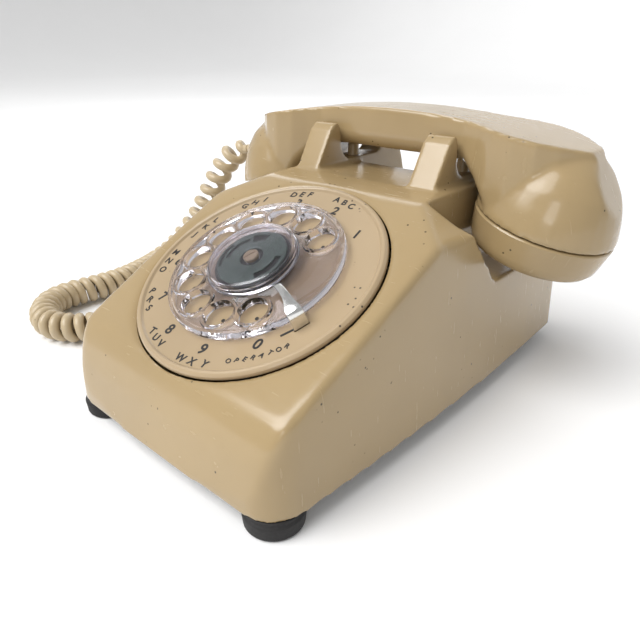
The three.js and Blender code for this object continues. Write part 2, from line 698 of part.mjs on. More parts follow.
const COIL_Y0 = -60;
const COIL_Y1 = -34.3;
const PIVOT_R = 1.2;
const ringerPin = moved(rod(PIVOT_R, PAN_Z1 + 1, 27, 10), 0, PIVOT_Y, 0);
piece("ringer_frame", joined(
  box(-22, 22, -68, -30, PAN_Z1 + GAP, PAN_Z1 + GAP + 1.5),
  box(-20, 20, COIL_Y1 + GAP, COIL_Y1 + GAP + 2, PAN_Z1 + 1, 28.5),
  ringerPin,
), STEEL);
const coil = rod(COIL_R, -COIL_Y1, -COIL_Y0, 18).rotateX(Math.PI / 2);
for (const [name, x] of [["ringer_coil_left", -10.5], ["ringer_coil_right", 10.5]])
  piece(name, moved(coil, x, 0, COIL_Z), COPPER);
function clapper() {
  const bar = box(-14, 14, PIVOT_Y - 1.4, PIVOT_Y + 1.4, 17.5, 22.5);
  const hub = moved(rod(3, 17.5, 24, 14), 0, PIVOT_Y, 0);
  const arm = box(-0.6, 0.6, GONG_Y + 1, PIVOT_Y - 1, 19.4, 20.6);
  const ball = moved(new THREE.SphereGeometry(2.4, 12, 8), 0, GONG_Y, COIL_Z);
  const bore = moved(rod(PIVOT_R + RUN, 0, 40, 10), 0, PIVOT_Y, 0);
  return joined(bar, hub, arm, ball).subtract(solid(bore));
}
piece("clapper", clapper(), STEEL);

const volume = new THREE.Group();
volume.position.set(VOLUME_X, VOLUME_Y, VOLUME_Z);
volume.rotation.y = Math.PI / 2;
root.add(volume);
piece("volume_wheel", joined(rod(VOLUME_R, -1.5, 1.5, 18), rod(PIVOT_R, -4.4, 4.4, 8)), BLACK, volume);

// The bracket's places are counted from the middle of the volume wheel.
function volumeBracket() {
  const low = PAN_Z1 + GAP - VOLUME_Z;
  const cheek = (x) => box(x, x + 1.4, -4, 4, low, 3);
  const pad = (x) => box(x, x + 5.1, -4, 4, low, low + 1);
  const rib = (x) => box(x, x + 1.4, 0, 10.4, low, low + 1);
  const back = box(-7.5, 7.5, 9, 10.4, low, low + 1);
  const body = joined(cheek(-3.8), cheek(2.4), pad(-7.5), pad(2.4), rib(-7.5), rib(6.1), back);
  return body.subtract(solid(rod(PIVOT_R + RUN, -9, 9, 12).rotateY(Math.PI / 2)));
}
piece("volume_bracket", volumeBracket(), STEEL).position.set(VOLUME_X, VOLUME_Y, VOLUME_Z);

// ---------- network, hook switch ----------
const NET_TOP = 38;
piece("network_box", box(-30, 22, -26, 26, PAN_Z1 + GAP, NET_TOP), STEEL);
const terminals = [box(-27, 19, -20, 20, NET_TOP + GAP, NET_TOP + 1.3)];
for (let i = 0; i < 4; i++)
  for (const y of [-16, 16])
    terminals.push(moved(rod(2.6, NET_TOP + 1, NET_TOP + 3.2, 6), -22 + 12 * i, y, 0));
piece("network_terminals", joined(...terminals), BRASS);

const HOOK_X = 39;
const SHELF_Z = 42;
const HOOK_PIN_R = 1.5;
const LEVER_T = 2;
const LEVER_HALF_W = 2.6;
const LEVER_PIVOT_Z = LEVER_Z - LEVER_T / 2;
const atHookAxis = (geometry) => moved(geometry.rotateY(Math.PI / 2), 0, LEVER_PIVOT_Y, LEVER_PIVOT_Z);
const hookAxis = (r, x0, x1) => atHookAxis(rod(r, x0, x1, 12));
function hookBracket() {
  const low = PAN_Z1 + GAP;
  const y0 = LEVER_PIVOT_Y - 7;
  const y1 = LEVER_PIVOT_Y + 7;
  const cheek = (x) => box(x - 0.75, x + 0.75, y0, y1, low, LEVER_Z + 3);
  const flange = box(-HOOK_X, HOOK_X, y0, y1, low, low + 1.5);
  const shelf = box(-HOOK_X, HOOK_X, CRADLE_Y, y1, SHELF_Z, SHELF_Z + 1.5);
  const body = joined(cheek(-HOOK_X), cheek(HOOK_X), flange, shelf);
  return body.subtract(solid(hookAxis(HOOK_PIN_R + GAP, -60, 60)));
}
piece("hook_bracket", hookBracket(), STEEL);
piece("hook_pin", hookAxis(HOOK_PIN_R, -HOOK_X - 2, HOOK_X + 2), STEEL);
function hookLever() {
  const beam = (x, y0, y1, z0, z1) => box(x - LEVER_HALF_W, x + LEVER_HALF_W, y0, y1, z0, z1);
  const arm = (x) => beam(x, CRADLE_Y - 1.2, LEVER_PIVOT_Y + 3, LEVER_Z - LEVER_T, LEVER_Z);
  const lug = (x) => beam(x, LEVER_PIVOT_Y - 3, LEVER_PIVOT_Y + 3, LEVER_Z - 4, LEVER_Z + 2);
  const bar = box(-EAR_MID_X, EAR_MID_X, LEVER_PIVOT_Y - 13, LEVER_PIVOT_Y - 8, LEVER_Z - LEVER_T, LEVER_Z);
  const body = joined(arm(-EAR_MID_X), arm(EAR_MID_X), lug(-EAR_MID_X), lug(EAR_MID_X), bar);
  return body.subtract(solid(hookAxis(HOOK_PIN_R + RUN, -60, 60)));
}
piece("hook_lever", hookLever(), STEEL);
piece("hook_spring", atHookAxis(washer(HOOK_PIN_R + RUN, 3.3, -9, 9, 14)), STEEL);
const blade = (x) => box(x - 1, x + 1, CRADLE_Y + 6, CRADLE_Y + 6.6, SHELF_Z + 6, LEVER_Z - LEVER_T - 1.2);
piece("hook_contacts", joined(
  box(-9, 9, CRADLE_Y + 2, CRADLE_Y + 12, SHELF_Z + 1.5 + GAP, SHELF_Z + 7),
  ...[-6, -2, 2, 6].map(blade),
), BRASS);
for (const [name, side] of [["plunger_left", -1], ["plunger_right", 1]]) {
  const top = HANDLE_BOTTOM - 0.4 - GAP;
  const bottom = LEVER_Z + GAP;
  const plunger = turned([
    [0, bottom],
    [1, bottom],
    [PLUNGER_FLANGE_R, bottom + 1.8],
    [PLUNGER_FLANGE_R, bottom + 2.8],
    [PLUNGER_R, bottom + 2.8],
    [PLUNGER_R, top - 1.5],
    [PLUNGER_R - 1.2, top],
    [0, top],
  ], 10);
  piece(name, plunger, CLEAR).position.set(side * EAR_MID_X, CRADLE_Y, 0);
}

// ---------- handset ----------
const BAR_SECTIONS = [
  [0, HANDLE_HALF_W, HANDLE_BOTTOM],
  [26, HANDLE_HALF_W, HANDLE_BOTTOM],
  [42, HANDLE_HALF_W + 0.8, HANDLE_BOTTOM - 0.4],
  [50, 22, 100],
  [58, 26, 90],
  [68, 28, 74],
  [78, 25.5, 66],
  [86, 19.5, 66],
  [92, 13, 66],
  [98, 5.5, 66],
];
const DOME = [
  [0, 0],
  [CAP_R, 0],
  [CAP_R, 2.5],
  [CAP_R - 2, 10],
  [CAP_R - 6, 20],
  [CAP_R - 12, 28],
  [CAP_R - 19.5, 33],
  [0, 34.5],
];
const UNIT_R = CAP_R - 6.5;
const CUP_R = CAP_R - 4;

// The handset's strain relief leaves the left end of the handset, outwards and a little down.
const RELIEF_R = 3.6;
const RELIEF_IN = 7;
const RELIEF_OUT = 12;
const RELIEF_X = -109;
const RELIEF_Z = 95;
const RELIEF_DIP = THREE.MathUtils.degToRad(10);
const reliefAt = (geometry) =>
  geometry.rotateY(-Math.PI / 2 - RELIEF_DIP).translate(RELIEF_X, CRADLE_Y, RELIEF_Z);

function barSection(x, halfW, bottom) {
  const top = HANDLE_TOP + 4;
  const r = Math.min(7, halfW - 2);
  const cut = new THREE.Shape();
  cut.moveTo(CRADLE_Y + halfW - 1, top);
  cut.lineTo(CRADLE_Y - halfW + 1, top);
  cut.lineTo(CRADLE_Y - halfW, bottom + r);
  cut.absarc(CRADLE_Y - halfW + r, bottom + r, r, Math.PI, 1.5 * Math.PI);
  cut.absarc(CRADLE_Y + halfW - r, bottom + r, r, 1.5 * Math.PI, 2 * Math.PI);
  const points = cut.getPoints(4);
  return points.filter((p, i) => i === 0 || p.distanceTo(points[i - 1]) > 1e-4)
    .map((p) => new THREE.Vector3(x, p.x, p.y));
}

// Puts a shape made about a cap's axis, with the seam at Z = 0, at one end of the handset.
function atCap(geometry, side) {
  return geometry.clone().rotateY(side * CAP_TILT).translate(side * CAP_X, CRADLE_Y, CAP_Z);
}

function handsetHandle() {
  const right = BAR_SECTIONS.map((s) => barSection(...s));
  const left = BAR_SECTIONS.slice(1).reverse().map(([x, h, b]) => barSection(-x, h, b));
  let body = solid(new LoftGeometry([...left, ...right], { capStart: true, capEnd: true }));
  for (const side of [-1, 1]) body = body.add(solid(atCap(turned(DOME, 32), side)));
  const crown = [];
  for (let i = -8; i <= 8; i++) {
    const x = (HANDLE_END_X * i) / 8;
    crown.push([x, HANDLE_TOP - (HANDLE_TOP - HANDLE_END_TOP) * (i / 8) ** 2]);
  }
  const top = [
    [-HANDSET_HALF, LEDGE_Z],
    [HANDSET_HALF, LEDGE_Z],
    [HANDSET_HALF, 88],
    ...crown.reverse(),
    [-HANDSET_HALF, 88],
  ];
  body = body.intersect(solid(slabY(top, 0, 110)));
  for (const side of [-1, 1]) {
    body = body.subtract(solid(atCap(rod(60, -60, GAP, 24), side)));
    body = body.subtract(solid(atCap(rod(CUP_R, -1, 10, 24), side)));
  }
  const relief = reliefAt(rod(RELIEF_R + GAP, -RELIEF_IN, 40, 14));
  return body.subtract(solid(relief));
}

piece("handset_handle", handsetHandle(), TAN);
const relief = rod(RELIEF_R, -RELIEF_IN + GAP, RELIEF_OUT, 14, RELIEF_R - 0.9);
piece("cord_relief_handset", reliefAt(relief), CORD);

const CAP_WALL = 2.4;
const UNIT_TOP = -3;
const cap = turned([
  [0, -CAP_H],
  [CAP_R - 8.5, -CAP_H],
  [CAP_R - 4.3, -CAP_H + 1.4],
  [CAP_EDGE_R, -CAP_EDGE_H],
  [CAP_R, 0],
  [CAP_R - 2.2, 0],
  [CAP_R - 4, -CAP_H + 6],
  [CAP_R - 6, -CAP_H + CAP_WALL],
  [0, -CAP_H + CAP_WALL],
], 28);
const unit = turned([
  [0, -CAP_H + CAP_WALL + GAP],
  [UNIT_R - 2, -CAP_H + CAP_WALL + GAP],
  [UNIT_R, -CAP_H + 6.5],
  [UNIT_R, -5],
  [UNIT_R - 6, UNIT_TOP],
  [0, UNIT_TOP],
], 16);
const cup = turned([
  [0, UNIT_TOP + GAP],
  [UNIT_R - 6, UNIT_TOP + GAP],
  [CUP_R - 0.5, 1],
  [CUP_R - 0.5, 8],
  [0, 8],
], 16);
for (const [name, side] of [["transmitter", -1], ["receiver", 1]]) {
  piece(name + "_cap", atCap(cap, side), TAN);
  piece(name + "_unit", atCap(unit, side), STEEL);
}
piece("transmitter_cup", atCap(cup, -1), BLACK);

// ---------- handset cord ----------
const CORD_GAP = 0.5;
const alongRelief = (distance) => [
  RELIEF_X - distance * Math.cos(RELIEF_DIP),
  CRADLE_Y,
  RELIEF_Z - distance * Math.sin(RELIEF_DIP),
];
const INLET_X = -halfWidth(INLET_Y);
const INLET_OUT = 9;
const CORD_LIE_Z = CORD_R + 0.4;
const CORD_ROUTE = [
  alongRelief(RELIEF_OUT + CORD_GAP),
  alongRelief(RELIEF_OUT + 9),
  [-140, 50.5, 84],
  [-149, 47, 71],
  [-157, 44, 57],
  [-166, 41, 42],
  [-177, 36, 27],
  [-184, 27, 15],
  [-184, 13, CORD_LIE_Z + 0.5],
  [-177, -5, CORD_LIE_Z],
  [-172, -24, CORD_LIE_Z],
  [-172, -44, CORD_LIE_Z],
  [-174, -60, CORD_LIE_Z],
  [-170, -75, CORD_LIE_Z],
  [-157, -86, CORD_LIE_Z],
  [-139, -89, CORD_LIE_Z],
  [-124, -80, CORD_LIE_Z],
  [-116, -64, CORD_LIE_Z],
  [-109, -44, CORD_LIE_Z],
  [-101, -20, CORD_LIE_Z],
  [-98, 8, CORD_LIE_Z],
  [-102, 36, CORD_LIE_Z],
  [-106, 58, CORD_LIE_Z + 1],
  [-105, 76, CORD_LIE_Z + 5],
  [INLET_X - INLET_OUT - 9, INLET_Y, INLET_Z],
  [INLET_X - INLET_OUT - CORD_GAP, INLET_Y, INLET_Z],
];

function cordTube() {
  const points = CORD_ROUTE.map((p) => new THREE.Vector3(...p));
  const path = new THREE.CatmullRomCurve3(points, false, "centripetal");
  const section = new THREE.Shape();
  for (let i = 0; i < CORD_SIDES; i++) {
    const angle = (2 * Math.PI * i) / CORD_SIDES;
    if (i) section.lineTo(CORD_R * Math.cos(angle), CORD_R * Math.sin(angle));
    else section.moveTo(CORD_R, 0);
  }
  section.closePath();
  return new THREE.ExtrudeGeometry(section, { steps: 60, extrudePath: path, bevelEnabled: false });
}
piece("handset_cord", cordTube(), CORD);
const inlet = joined(
  rod(INLET_R, -INLET_OUT, WALL + 4.4, 16, INLET_R - 0.2),
  rod(INLET_R + 1.6, WALL + 2, WALL + 3.4, 12),
);
const inletMesh = geometryOf(inlet).rotateY(Math.PI / 2).translate(INLET_X, INLET_Y, INLET_Z);
piece("cord_relief_base", inletMesh, CORD);

// The rear inlet is made about Z with the wall's outside at Z = 0, then turned to the leaning wall.
const LINE_CORD_R = 1.9; // half the thickness of the line cord, with its clearance
const grommet = turned([
  [LINE_CORD_R, -WALL - 1.8],
  [6, -WALL - 1.8],
  [6, -WALL - 0.4],
  [LINE_HOLE_R - GAP, -WALL - 0.4],
  [LINE_HOLE_R - GAP, GAP],
  [5.4, GAP],
  [5.4, 0.8],
  [LINE_CORD_R, 0.8],
  [LINE_CORD_R, -WALL - 1.8],
], 12).rotateX(-Math.PI / 2 + Math.atan(REAR_LEAN));
piece("line_inlet", moved(grommet, LINE_HOLE_X, rearY(LINE_HOLE_Z), LINE_HOLE_Z), RUBBER);

export default root;
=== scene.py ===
"""A desk telephone with a rotary dial, modelled around its fixed frame of working parts."""

import json
import math

import bpy
from mathutils import Matrix, Vector


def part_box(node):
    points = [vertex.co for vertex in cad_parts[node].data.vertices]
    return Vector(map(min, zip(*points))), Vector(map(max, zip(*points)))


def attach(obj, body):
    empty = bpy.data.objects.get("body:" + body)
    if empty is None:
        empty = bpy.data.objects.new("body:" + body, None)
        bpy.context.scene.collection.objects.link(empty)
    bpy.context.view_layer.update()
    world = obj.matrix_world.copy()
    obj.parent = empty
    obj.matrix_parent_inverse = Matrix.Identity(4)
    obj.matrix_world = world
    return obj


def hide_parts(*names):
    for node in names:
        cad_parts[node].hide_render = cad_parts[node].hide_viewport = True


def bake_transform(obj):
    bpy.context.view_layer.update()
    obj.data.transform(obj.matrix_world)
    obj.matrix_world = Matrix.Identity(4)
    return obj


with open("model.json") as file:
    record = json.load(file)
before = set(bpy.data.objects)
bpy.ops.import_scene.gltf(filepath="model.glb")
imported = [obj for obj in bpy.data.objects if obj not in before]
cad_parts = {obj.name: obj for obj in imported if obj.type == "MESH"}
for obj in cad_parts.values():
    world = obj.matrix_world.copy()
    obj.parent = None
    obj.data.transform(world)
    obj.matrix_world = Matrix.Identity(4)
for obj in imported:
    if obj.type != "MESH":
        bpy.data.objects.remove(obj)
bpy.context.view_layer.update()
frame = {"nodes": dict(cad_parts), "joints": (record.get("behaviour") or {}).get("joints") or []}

bl_info = {
    "name": "Desk Telephone",
    "version": (1, 0, 0),
    "blender": (4, 5, 0),
    "location": "3D View > Sidebar > Telephone",
    "description": "Models a desk telephone with a rotary dial, piece by piece",
    "category": "Object",
}

MM = 0.001
DOUBLES = 1e-6  # vertices this near are one, in metres
SKIN = 0.95 * MM  # the size of the even skin's faces
NODES = frame["nodes"]
JOINTS = {joint["name"]: joint for joint in frame["joints"]}

# The dial's own axes: its centre on the face, +Z out of the face, +Y up the slope.
DIAL_CENTRE = Vector(JOINTS["dial_spin"]["pos_m"])
DIAL_OUT = -Vector(JOINTS["dial_spin"]["axis"])
DIAL = Matrix.Translation(DIAL_CENTRE) @ Matrix.Rotation(math.atan2(-DIAL_OUT.y, DIAL_OUT.z), 4, "X")

CRADLE_Y = (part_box("plunger_left")[0].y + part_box("plunger_left")[1].y) / 2
PLUNGER_X = (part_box("plunger_right")[0].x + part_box("plunger_right")[1].x) / 2
CAP_TILT = math.radians(14)
CAP_SEAM = Vector((78.5 * MM, CRADLE_Y, 83.3 * MM))
RELIEF_DIP = math.radians(10)
RELIEF_ROOT = Vector((-109 * MM, CRADLE_Y, 95 * MM))
INLET_ROOT = Vector((-74.94 * MM, 86 * MM, 19.5 * MM))

# The middle line of the curled cord, from the handset round to the housing.
CORD_ROUTE = [
    (-121.31, 52.2, 92.83),
    (-129.68, 52.2, 91.35),
    (-140, 50.5, 84),
    (-149, 47, 71),
    (-157, 44, 57),
    (-166, 41, 42),
    (-177, 36, 27),
    (-184, 27, 15),
    (-184, 13, 9.5),
    (-177, -5, 9),
    (-172, -24, 9),
    (-172, -44, 9),
    (-174, -60, 9),
    (-170, -75, 9),
    (-157, -86, 9),
    (-139, -89, 9),
    (-124, -80, 9),
    (-116, -64, 9),
    (-109, -44, 9),
    (-101, -20, 9),
    (-98, 8, 9),
    (-102, 36, 9),
    (-106, 58, 10),
    (-105, 76, 14),
    (-92.94, 86, 19.5),
    (-84.44, 86, 19.5),
]


# ---------- sizes and colours that a user would change ----------
def length(name, description, default):
    return bpy.props.FloatProperty(
        name=name, description=description, default=default, min=0, precision=5, unit="LENGTH", subtype="DISTANCE"
    )


def colour(name, description, default):
    return bpy.props.FloatVectorProperty(
        name=name, description=description, default=default, size=3, min=0, max=1, subtype="COLOR"
    )


class TelephoneSizes(bpy.types.PropertyGroup):
    plate_radius: length("Number plate", "Radius of the number plate", 0.0562)
    wheel_radius: length("Finger wheel", "Radius of the finger wheel", 0.0395)
    hole_radius: length("Finger hole", "Radius of each finger hole", 0.0066)
    hole_circle: length("Hole circle", "Radius on which the finger holes lie", 0.0292)
    hub_radius: length("Hub cover", "Radius of the clear cover on the hub", 0.0205)
    cap_radius: length("Handset cap", "Radius of each handset cap", 0.0325)
    cap_height: length("Cap height", "Height of each handset cap", 0.017)
    foot_radius: length("Foot", "Radius of each foot", 0.012)
    wire: length("Cord wire", "Thickness of the wire that the cord is curled from", 0.0057)
    curl: length("Cord curl", "Outer radius of the curl", 0.0086)
    tight_pitch: length("Tight curl", "Pitch of the curl where the cord lies", 0.0063)
    open_pitch: length("Open curl", "Pitch of the curl where the cord hangs", 0.0108)


class TelephoneColours(bpy.types.PropertyGroup):
    body: colour("Body", "Moulded plastic of the housing and handset", (0.37, 0.268, 0.136))
    plate: colour("Number plate", "Plastic of the number plate", (0.41, 0.305, 0.183))
    cord: colour("Cord", "Curled cord", (0.49, 0.39, 0.245))
    card: colour("Hub card", "Card under the hub cover", (0.065, 0.095, 0.078))
    # This black also colours the strip of painted shade beside the finger stop.
    marks: colour("Marks", "Numbers and letters", (0.012, 0.011, 0.010))
    floor: colour("Floor", "Floor under the telephone", (0.90, 0.90, 0.90))


# ---------- modelling by hand ----------
def deselect():
    bpy.ops.object.select_all(action="DESELECT")


def pick(piece):
    deselect()
    piece.select_set(True)
    bpy.context.view_layer.objects.active = piece


def named(name):
    """The object that the last operator added, under its name."""
    piece = bpy.context.active_object
    piece.name = name
    piece.data.name = name
    return piece


def settle(piece, place=None):
    """Puts the piece in its place and moves that place into its mesh."""
    bpy.context.view_layer.update()
    if place is not None:
        piece.matrix_world = place @ piece.matrix_world
    pick(piece)
    bpy.ops.object.transform_apply(location=True, rotation=True, scale=True)
    return piece


def modify(piece, kind, **settings):
    pick(piece)
    modifier = piece.modifiers.new(kind.title(), kind)
    for key, value in settings.items():
        setattr(modifier, key, value)
    bpy.ops.object.modifier_apply(modifier=modifier.name)


def cut(piece, tool, operation="DIFFERENCE"):
    modify(piece, "BOOLEAN", operation=operation, object=tool, solver="EXACT")
    bpy.data.objects.remove(tool)


def bevel(piece, width, segments=3, angle=35):
    modify(piece, "BEVEL", width=width, segments=segments, limit_method="ANGLE", angle_limit=math.radians(angle))


def smooth(piece, angle=32):
    pick(piece)
    bpy.ops.object.shade_smooth_by_angle(angle=math.radians(angle))


def joined(pieces, name):
    deselect()
    for piece in pieces:
        piece.select_set(True)
    bpy.context.view_layer.objects.active = pieces[0]
    if len(pieces) > 1:
        bpy.ops.object.join()
    return named(name)


def outwards():
    bpy.ops.mesh.select_all(action="SELECT")
    bpy.ops.mesh.remove_doubles(threshold=DOUBLES)
    bpy.ops.mesh.normals_make_consistent(inside=False)


def spun(name, profile, steps=96, sweep=360):
    """A turned piece about Z: the profile of (radius, height) in mm is drawn by extruding, then spun."""
    deselect()
    bpy.ops.mesh.primitive_plane_add(size=MM)
    piece = named(name)
    bpy.ops.object.mode_set(mode="EDIT")
    bpy.ops.mesh.merge(type="CENTER")
    bpy.ops.transform.translate(value=(profile[0][0] * MM, 0, profile[0][1] * MM))
    for (r0, z0), (r1, z1) in zip(profile, profile[1:]):
        step = ((r1 - r0) * MM, 0, (z1 - z0) * MM)
        bpy.ops.mesh.extrude_region_move(TRANSFORM_OT_translate={"value": step})
    bpy.ops.mesh.select_all(action="SELECT")
    bpy.ops.mesh.spin(steps=steps, angle=math.radians(sweep), center=(0, 0, 0), axis=(0, 0, 1))
    if sweep < 360:
        bpy.ops.mesh.select_all(action="SELECT")
        bpy.ops.mesh.remove_doubles(threshold=DOUBLES)
        bpy.ops.mesh.fill_holes(sides=0)
    outwards()
    bpy.ops.object.mode_set(mode="OBJECT")
    return piece


def pin(radius, z0, z1, x=0.0, y=0.0, vertices=40):
    """A cylinder to cut with, in metres."""
    deselect()
    bpy.ops.mesh.primitive_cylinder_add(
        vertices=vertices, radius=radius, depth=z1 - z0, location=(x, y, (z0 + z1) / 2)
    )
    return bpy.context.active_object


def block(low, high):
    """A box to cut with, in metres."""
    deselect()
    size = Vector(high) - Vector(low)
    bpy.ops.mesh.primitive_cube_add(size=1, location=(Vector(low) + Vector(high)) / 2, scale=size)
    return settle(bpy.context.active_object)


def polar(radius, degrees):
    angle = math.radians(degrees)
    return radius * math.cos(angle), radius * math.sin(angle)


def cast(node, name, voxel):
    """A copy of a CAD node's shape as an even skin that can be rounded."""
    deselect()
    piece = bpy.data.objects.new(name, NODES[node].data.copy())
    piece.data.name = name
    bpy.context.scene.collection.objects.link(piece)
    pick(piece)
    piece.data.materials.clear()
    bpy.ops.mesh.customdata_custom_splitnormals_clear()
    bpy.ops.object.mode_set(mode="EDIT")
    bpy.ops.mesh.select_all(action="SELECT")
    bpy.ops.mesh.remove_doubles(threshold=DOUBLES)
    bpy.ops.object.mode_set(mode="OBJECT")
    modify(piece, "REMESH", mode="VOXEL", voxel_size=voxel, adaptivity=0)
    return piece


def rounded(piece, weight, rounds, factor=0.5):
    """Rounds the skin where weight(point) is above 0."""
    group = piece.vertex_groups.new(name="rounding")
    for vertex in piece.data.vertices:
        share = weight(vertex.co)
        if share > 0:
            group.add([vertex.index], min(share, 1), "REPLACE")
    modify(piece, "SMOOTH", factor=factor, iterations=rounds, vertex_group=group.name)
    piece.vertex_groups.clear()


def ramp(value, low, high):
    return min(max((value - low) / (high - low), 0), 1)


# ---------- finishes ----------
class Finish:
    """A procedural material on Object coordinates."""

    def __init__(self, name, **sockets):
        self.material = bpy.data.materials.new(name)
        self.material.use_nodes = True
        self.nodes = self.material.node_tree.nodes
        self.links = self.material.node_tree.links
        self.shader = self.nodes["Principled BSDF"]
        for socket, value in sockets.items():
            self.shader.inputs[socket.replace("_", " ")].default_value = value
        self.place = self.nodes.new("ShaderNodeTexCoord").outputs["Object"]

    def noise(self, scale, detail=3.0, stretch=None):
        node = self.nodes.new("ShaderNodeTexNoise")
        node.inputs["Scale"].default_value = scale
        node.inputs["Detail"].default_value = detail
        place = self.place
        if stretch:
            mapping = self.nodes.new("ShaderNodeMapping")
            mapping.inputs["Scale"].default_value = stretch
            self.links.new(place, mapping.inputs["Vector"])
            place = mapping.outputs["Vector"]
        self.links.new(place, node.inputs["Vector"])
        return node.outputs["Fac"]

    def specks(self, scale, size):
        """1 on a few small specks, 0 elsewhere."""
        node = self.nodes.new("ShaderNodeTexVoronoi")
        node.inputs["Scale"].default_value = scale
        self.links.new(self.place, node.inputs["Vector"])
        return self.between(node.outputs["Distance"], size, size * 0.6, 0, 1)

    def between(self, value, low, high, to_low, to_high):
        node = self.nodes.new("ShaderNodeMapRange")
        for socket, number in zip(("From Min", "From Max", "To Min", "To Max"), (low, high, to_low, to_high)):
            node.inputs[socket].default_value = number
        self.links.new(value, node.inputs["Value"])
        return node.outputs["Result"]

    def product(self, a, b):
        node = self.nodes.new("ShaderNodeMath")
        node.operation = "MULTIPLY"
        self.links.new(a, node.inputs[0])
        self.links.new(b, node.inputs[1])
        return node.outputs["Value"]

    def tones(self, value, *stops):
        """A colour ramp of (position, colour)."""
        node = self.nodes.new("ShaderNodeValToRGB")
        elements = node.color_ramp.elements
        while len(elements) < len(stops):
            elements.new(0.5)
        for element, (position, tone) in zip(elements, stops):
            element.position = position
            element.color = (*tone, 1)
        self.links.new(value, node.inputs["Fac"])
        return node.outputs["Color"]

    def mix(self, share, a, b):
        node = self.nodes.new("ShaderNodeMix")
        node.data_type = "RGBA"
        self.links.new(share, node.inputs["Factor"])
        self.links.new(a, node.inputs["A"])
        if isinstance(b, tuple):
            node.inputs["B"].default_value = (*b, 1)
        else:
            self.links.new(b, node.inputs["B"])
        return node.outputs["Result"]

    def set(self, socket, value):
        self.links.new(value, self.shader.inputs[socket])

    def bump(self, height, strength, distance=0.0002):
        node = self.nodes.new("ShaderNodeBump")
        node.inputs["Strength"].default_value = strength
        node.inputs["Distance"].default_value = distance
        self.links.new(height, node.inputs["Height"])
        self.links.new(node.outputs["Normal"], self.shader.inputs["Normal"])

    def on(self, *pieces):
        for piece in pieces:
            piece.data.materials.clear()
            piece.data.materials.append(self.material)


def shade(tone, factor):
    return tuple(min(part * factor, 1) for part in tone)


def moulded(name, tone, rough=0.2, wear=1.0):
    """Glossy moulded plastic: aged tone, hairline scratches, a few specks."""
    finish = Finish(name, Specular_IOR_Level=0.5, Coat_Weight=0.25, Coat_Roughness=0.08)
    aged = finish.tones(finish.noise(14, 4), (0.3, shade(tone, 0.93)), (0.7, shade(tone, 1.06)))
    rare = finish.product(finish.specks(230, 0.13), finish.between(finish.noise(60), 0.56, 0.6, 0, 1))
    finish.set("Base Color", finish.mix(rare, aged, shade(tone, 0.16)))
    scratch = finish.noise(90, 5, (1, 9, 1))
    finish.set("Roughness", finish.between(scratch, 0.3, 0.75, rough, rough + 0.12 * wear))
    finish.bump(finish.noise(2600, 2), 0.05 * wear)
    return finish


def metal(name, tone, rough, brushed=(1, 1, 14), metallic=1.0):
    finish = Finish(name, Metallic=metallic)
    grain = finish.noise(420, 3, brushed)
    finish.set("Base Color", finish.tones(grain, (0.25, shade(tone, 0.86)), (0.75, shade(tone, 1.1))))
    finish.set("Roughness", finish.between(grain, 0.25, 0.75, rough, rough + 0.14))
    finish.bump(grain, 0.06, 0.0001)
    return finish


def dull(name, tone, rough, scale=800):
    """Rubber, card and unpolished plastic."""
    finish = Finish(name)
    grain = finish.noise(scale, 4)
    finish.set("Base Color", finish.tones(grain, (0.3, shade(tone, 0.75)), (0.7, shade(tone, 1.25))))
    finish.set("Roughness", finish.between(finish.noise(70), 0.3, 0.7, rough - 0.08, rough + 0.08))
    finish.bump(grain, 0.25)
    return finish


def clear(name, tint, rough=0.03):
    """Clear plastic with the faint hairlines of use."""
    finish = Finish(name, Transmission_Weight=1.0, IOR=1.47)
    finish.set("Base Color", finish.tones(finish.noise(25), (0.3, tint), (0.7, shade(tint, 1.06))))
    finish.set("Roughness", finish.between(finish.noise(160, 5, (1, 7, 1)), 0.45, 0.8, rough, rough + 0.16))
    finish.bump(finish.noise(900, 2), 0.03)
    return finish


FINISHES = {}


def finishes():
    """Makes each finish once."""
    if FINISHES:
        return FINISHES
    tones = bpy.context.scene.telephone_colours
    FINISHES.update(
        body=moulded("body_plastic", tuple(tones.body), 0.17),
        plate=moulded("plate_plastic", tuple(tones.plate), 0.3, 0.8),
        clear=clear("clear_plastic", (0.90, 0.88, 0.95)),
        chrome=metal("chrome_plate", (0.78, 0.78, 0.77), 0.08),
        steel=metal("zinc_steel", (0.52, 0.53, 0.54), 0.32),
        brass=metal("brass", (0.62, 0.47, 0.22), 0.28),
        copper=metal("copper_winding", (0.46, 0.17, 0.08), 0.35, (1, 40, 1)),
        black=dull("black_plastic", (0.022, 0.021, 0.020), 0.5),
        rubber=dull("foot_rubber", (0.015, 0.014, 0.014), 0.72),
        cord=moulded("cord_jacket", tuple(tones.cord), 0.32, 1.6),
        card=dull("hub_card_print", tuple(tones.card), 0.42),
        marks=dull("black_marks", tuple(tones.marks), 0.45),
        nub=moulded("plunger_plastic", shade(tuple(tones.body), 1.25), 0.35),
    )
    return FINISHES


def done(piece, finish, body, slot, *nodes):
    """Gives the piece its finish and its body, and hides the CAD nodes that it stands for. The slot is not used."""
    finishes()[finish].on(piece)
    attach(piece, body)
    if nodes:
        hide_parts(*nodes)
    return piece


# ---------- the cord ----------
CORD_PLAIN = 0.002  # the curl starts to open this far from each end
CORD_LEAD = 0.013  # and is fully open here


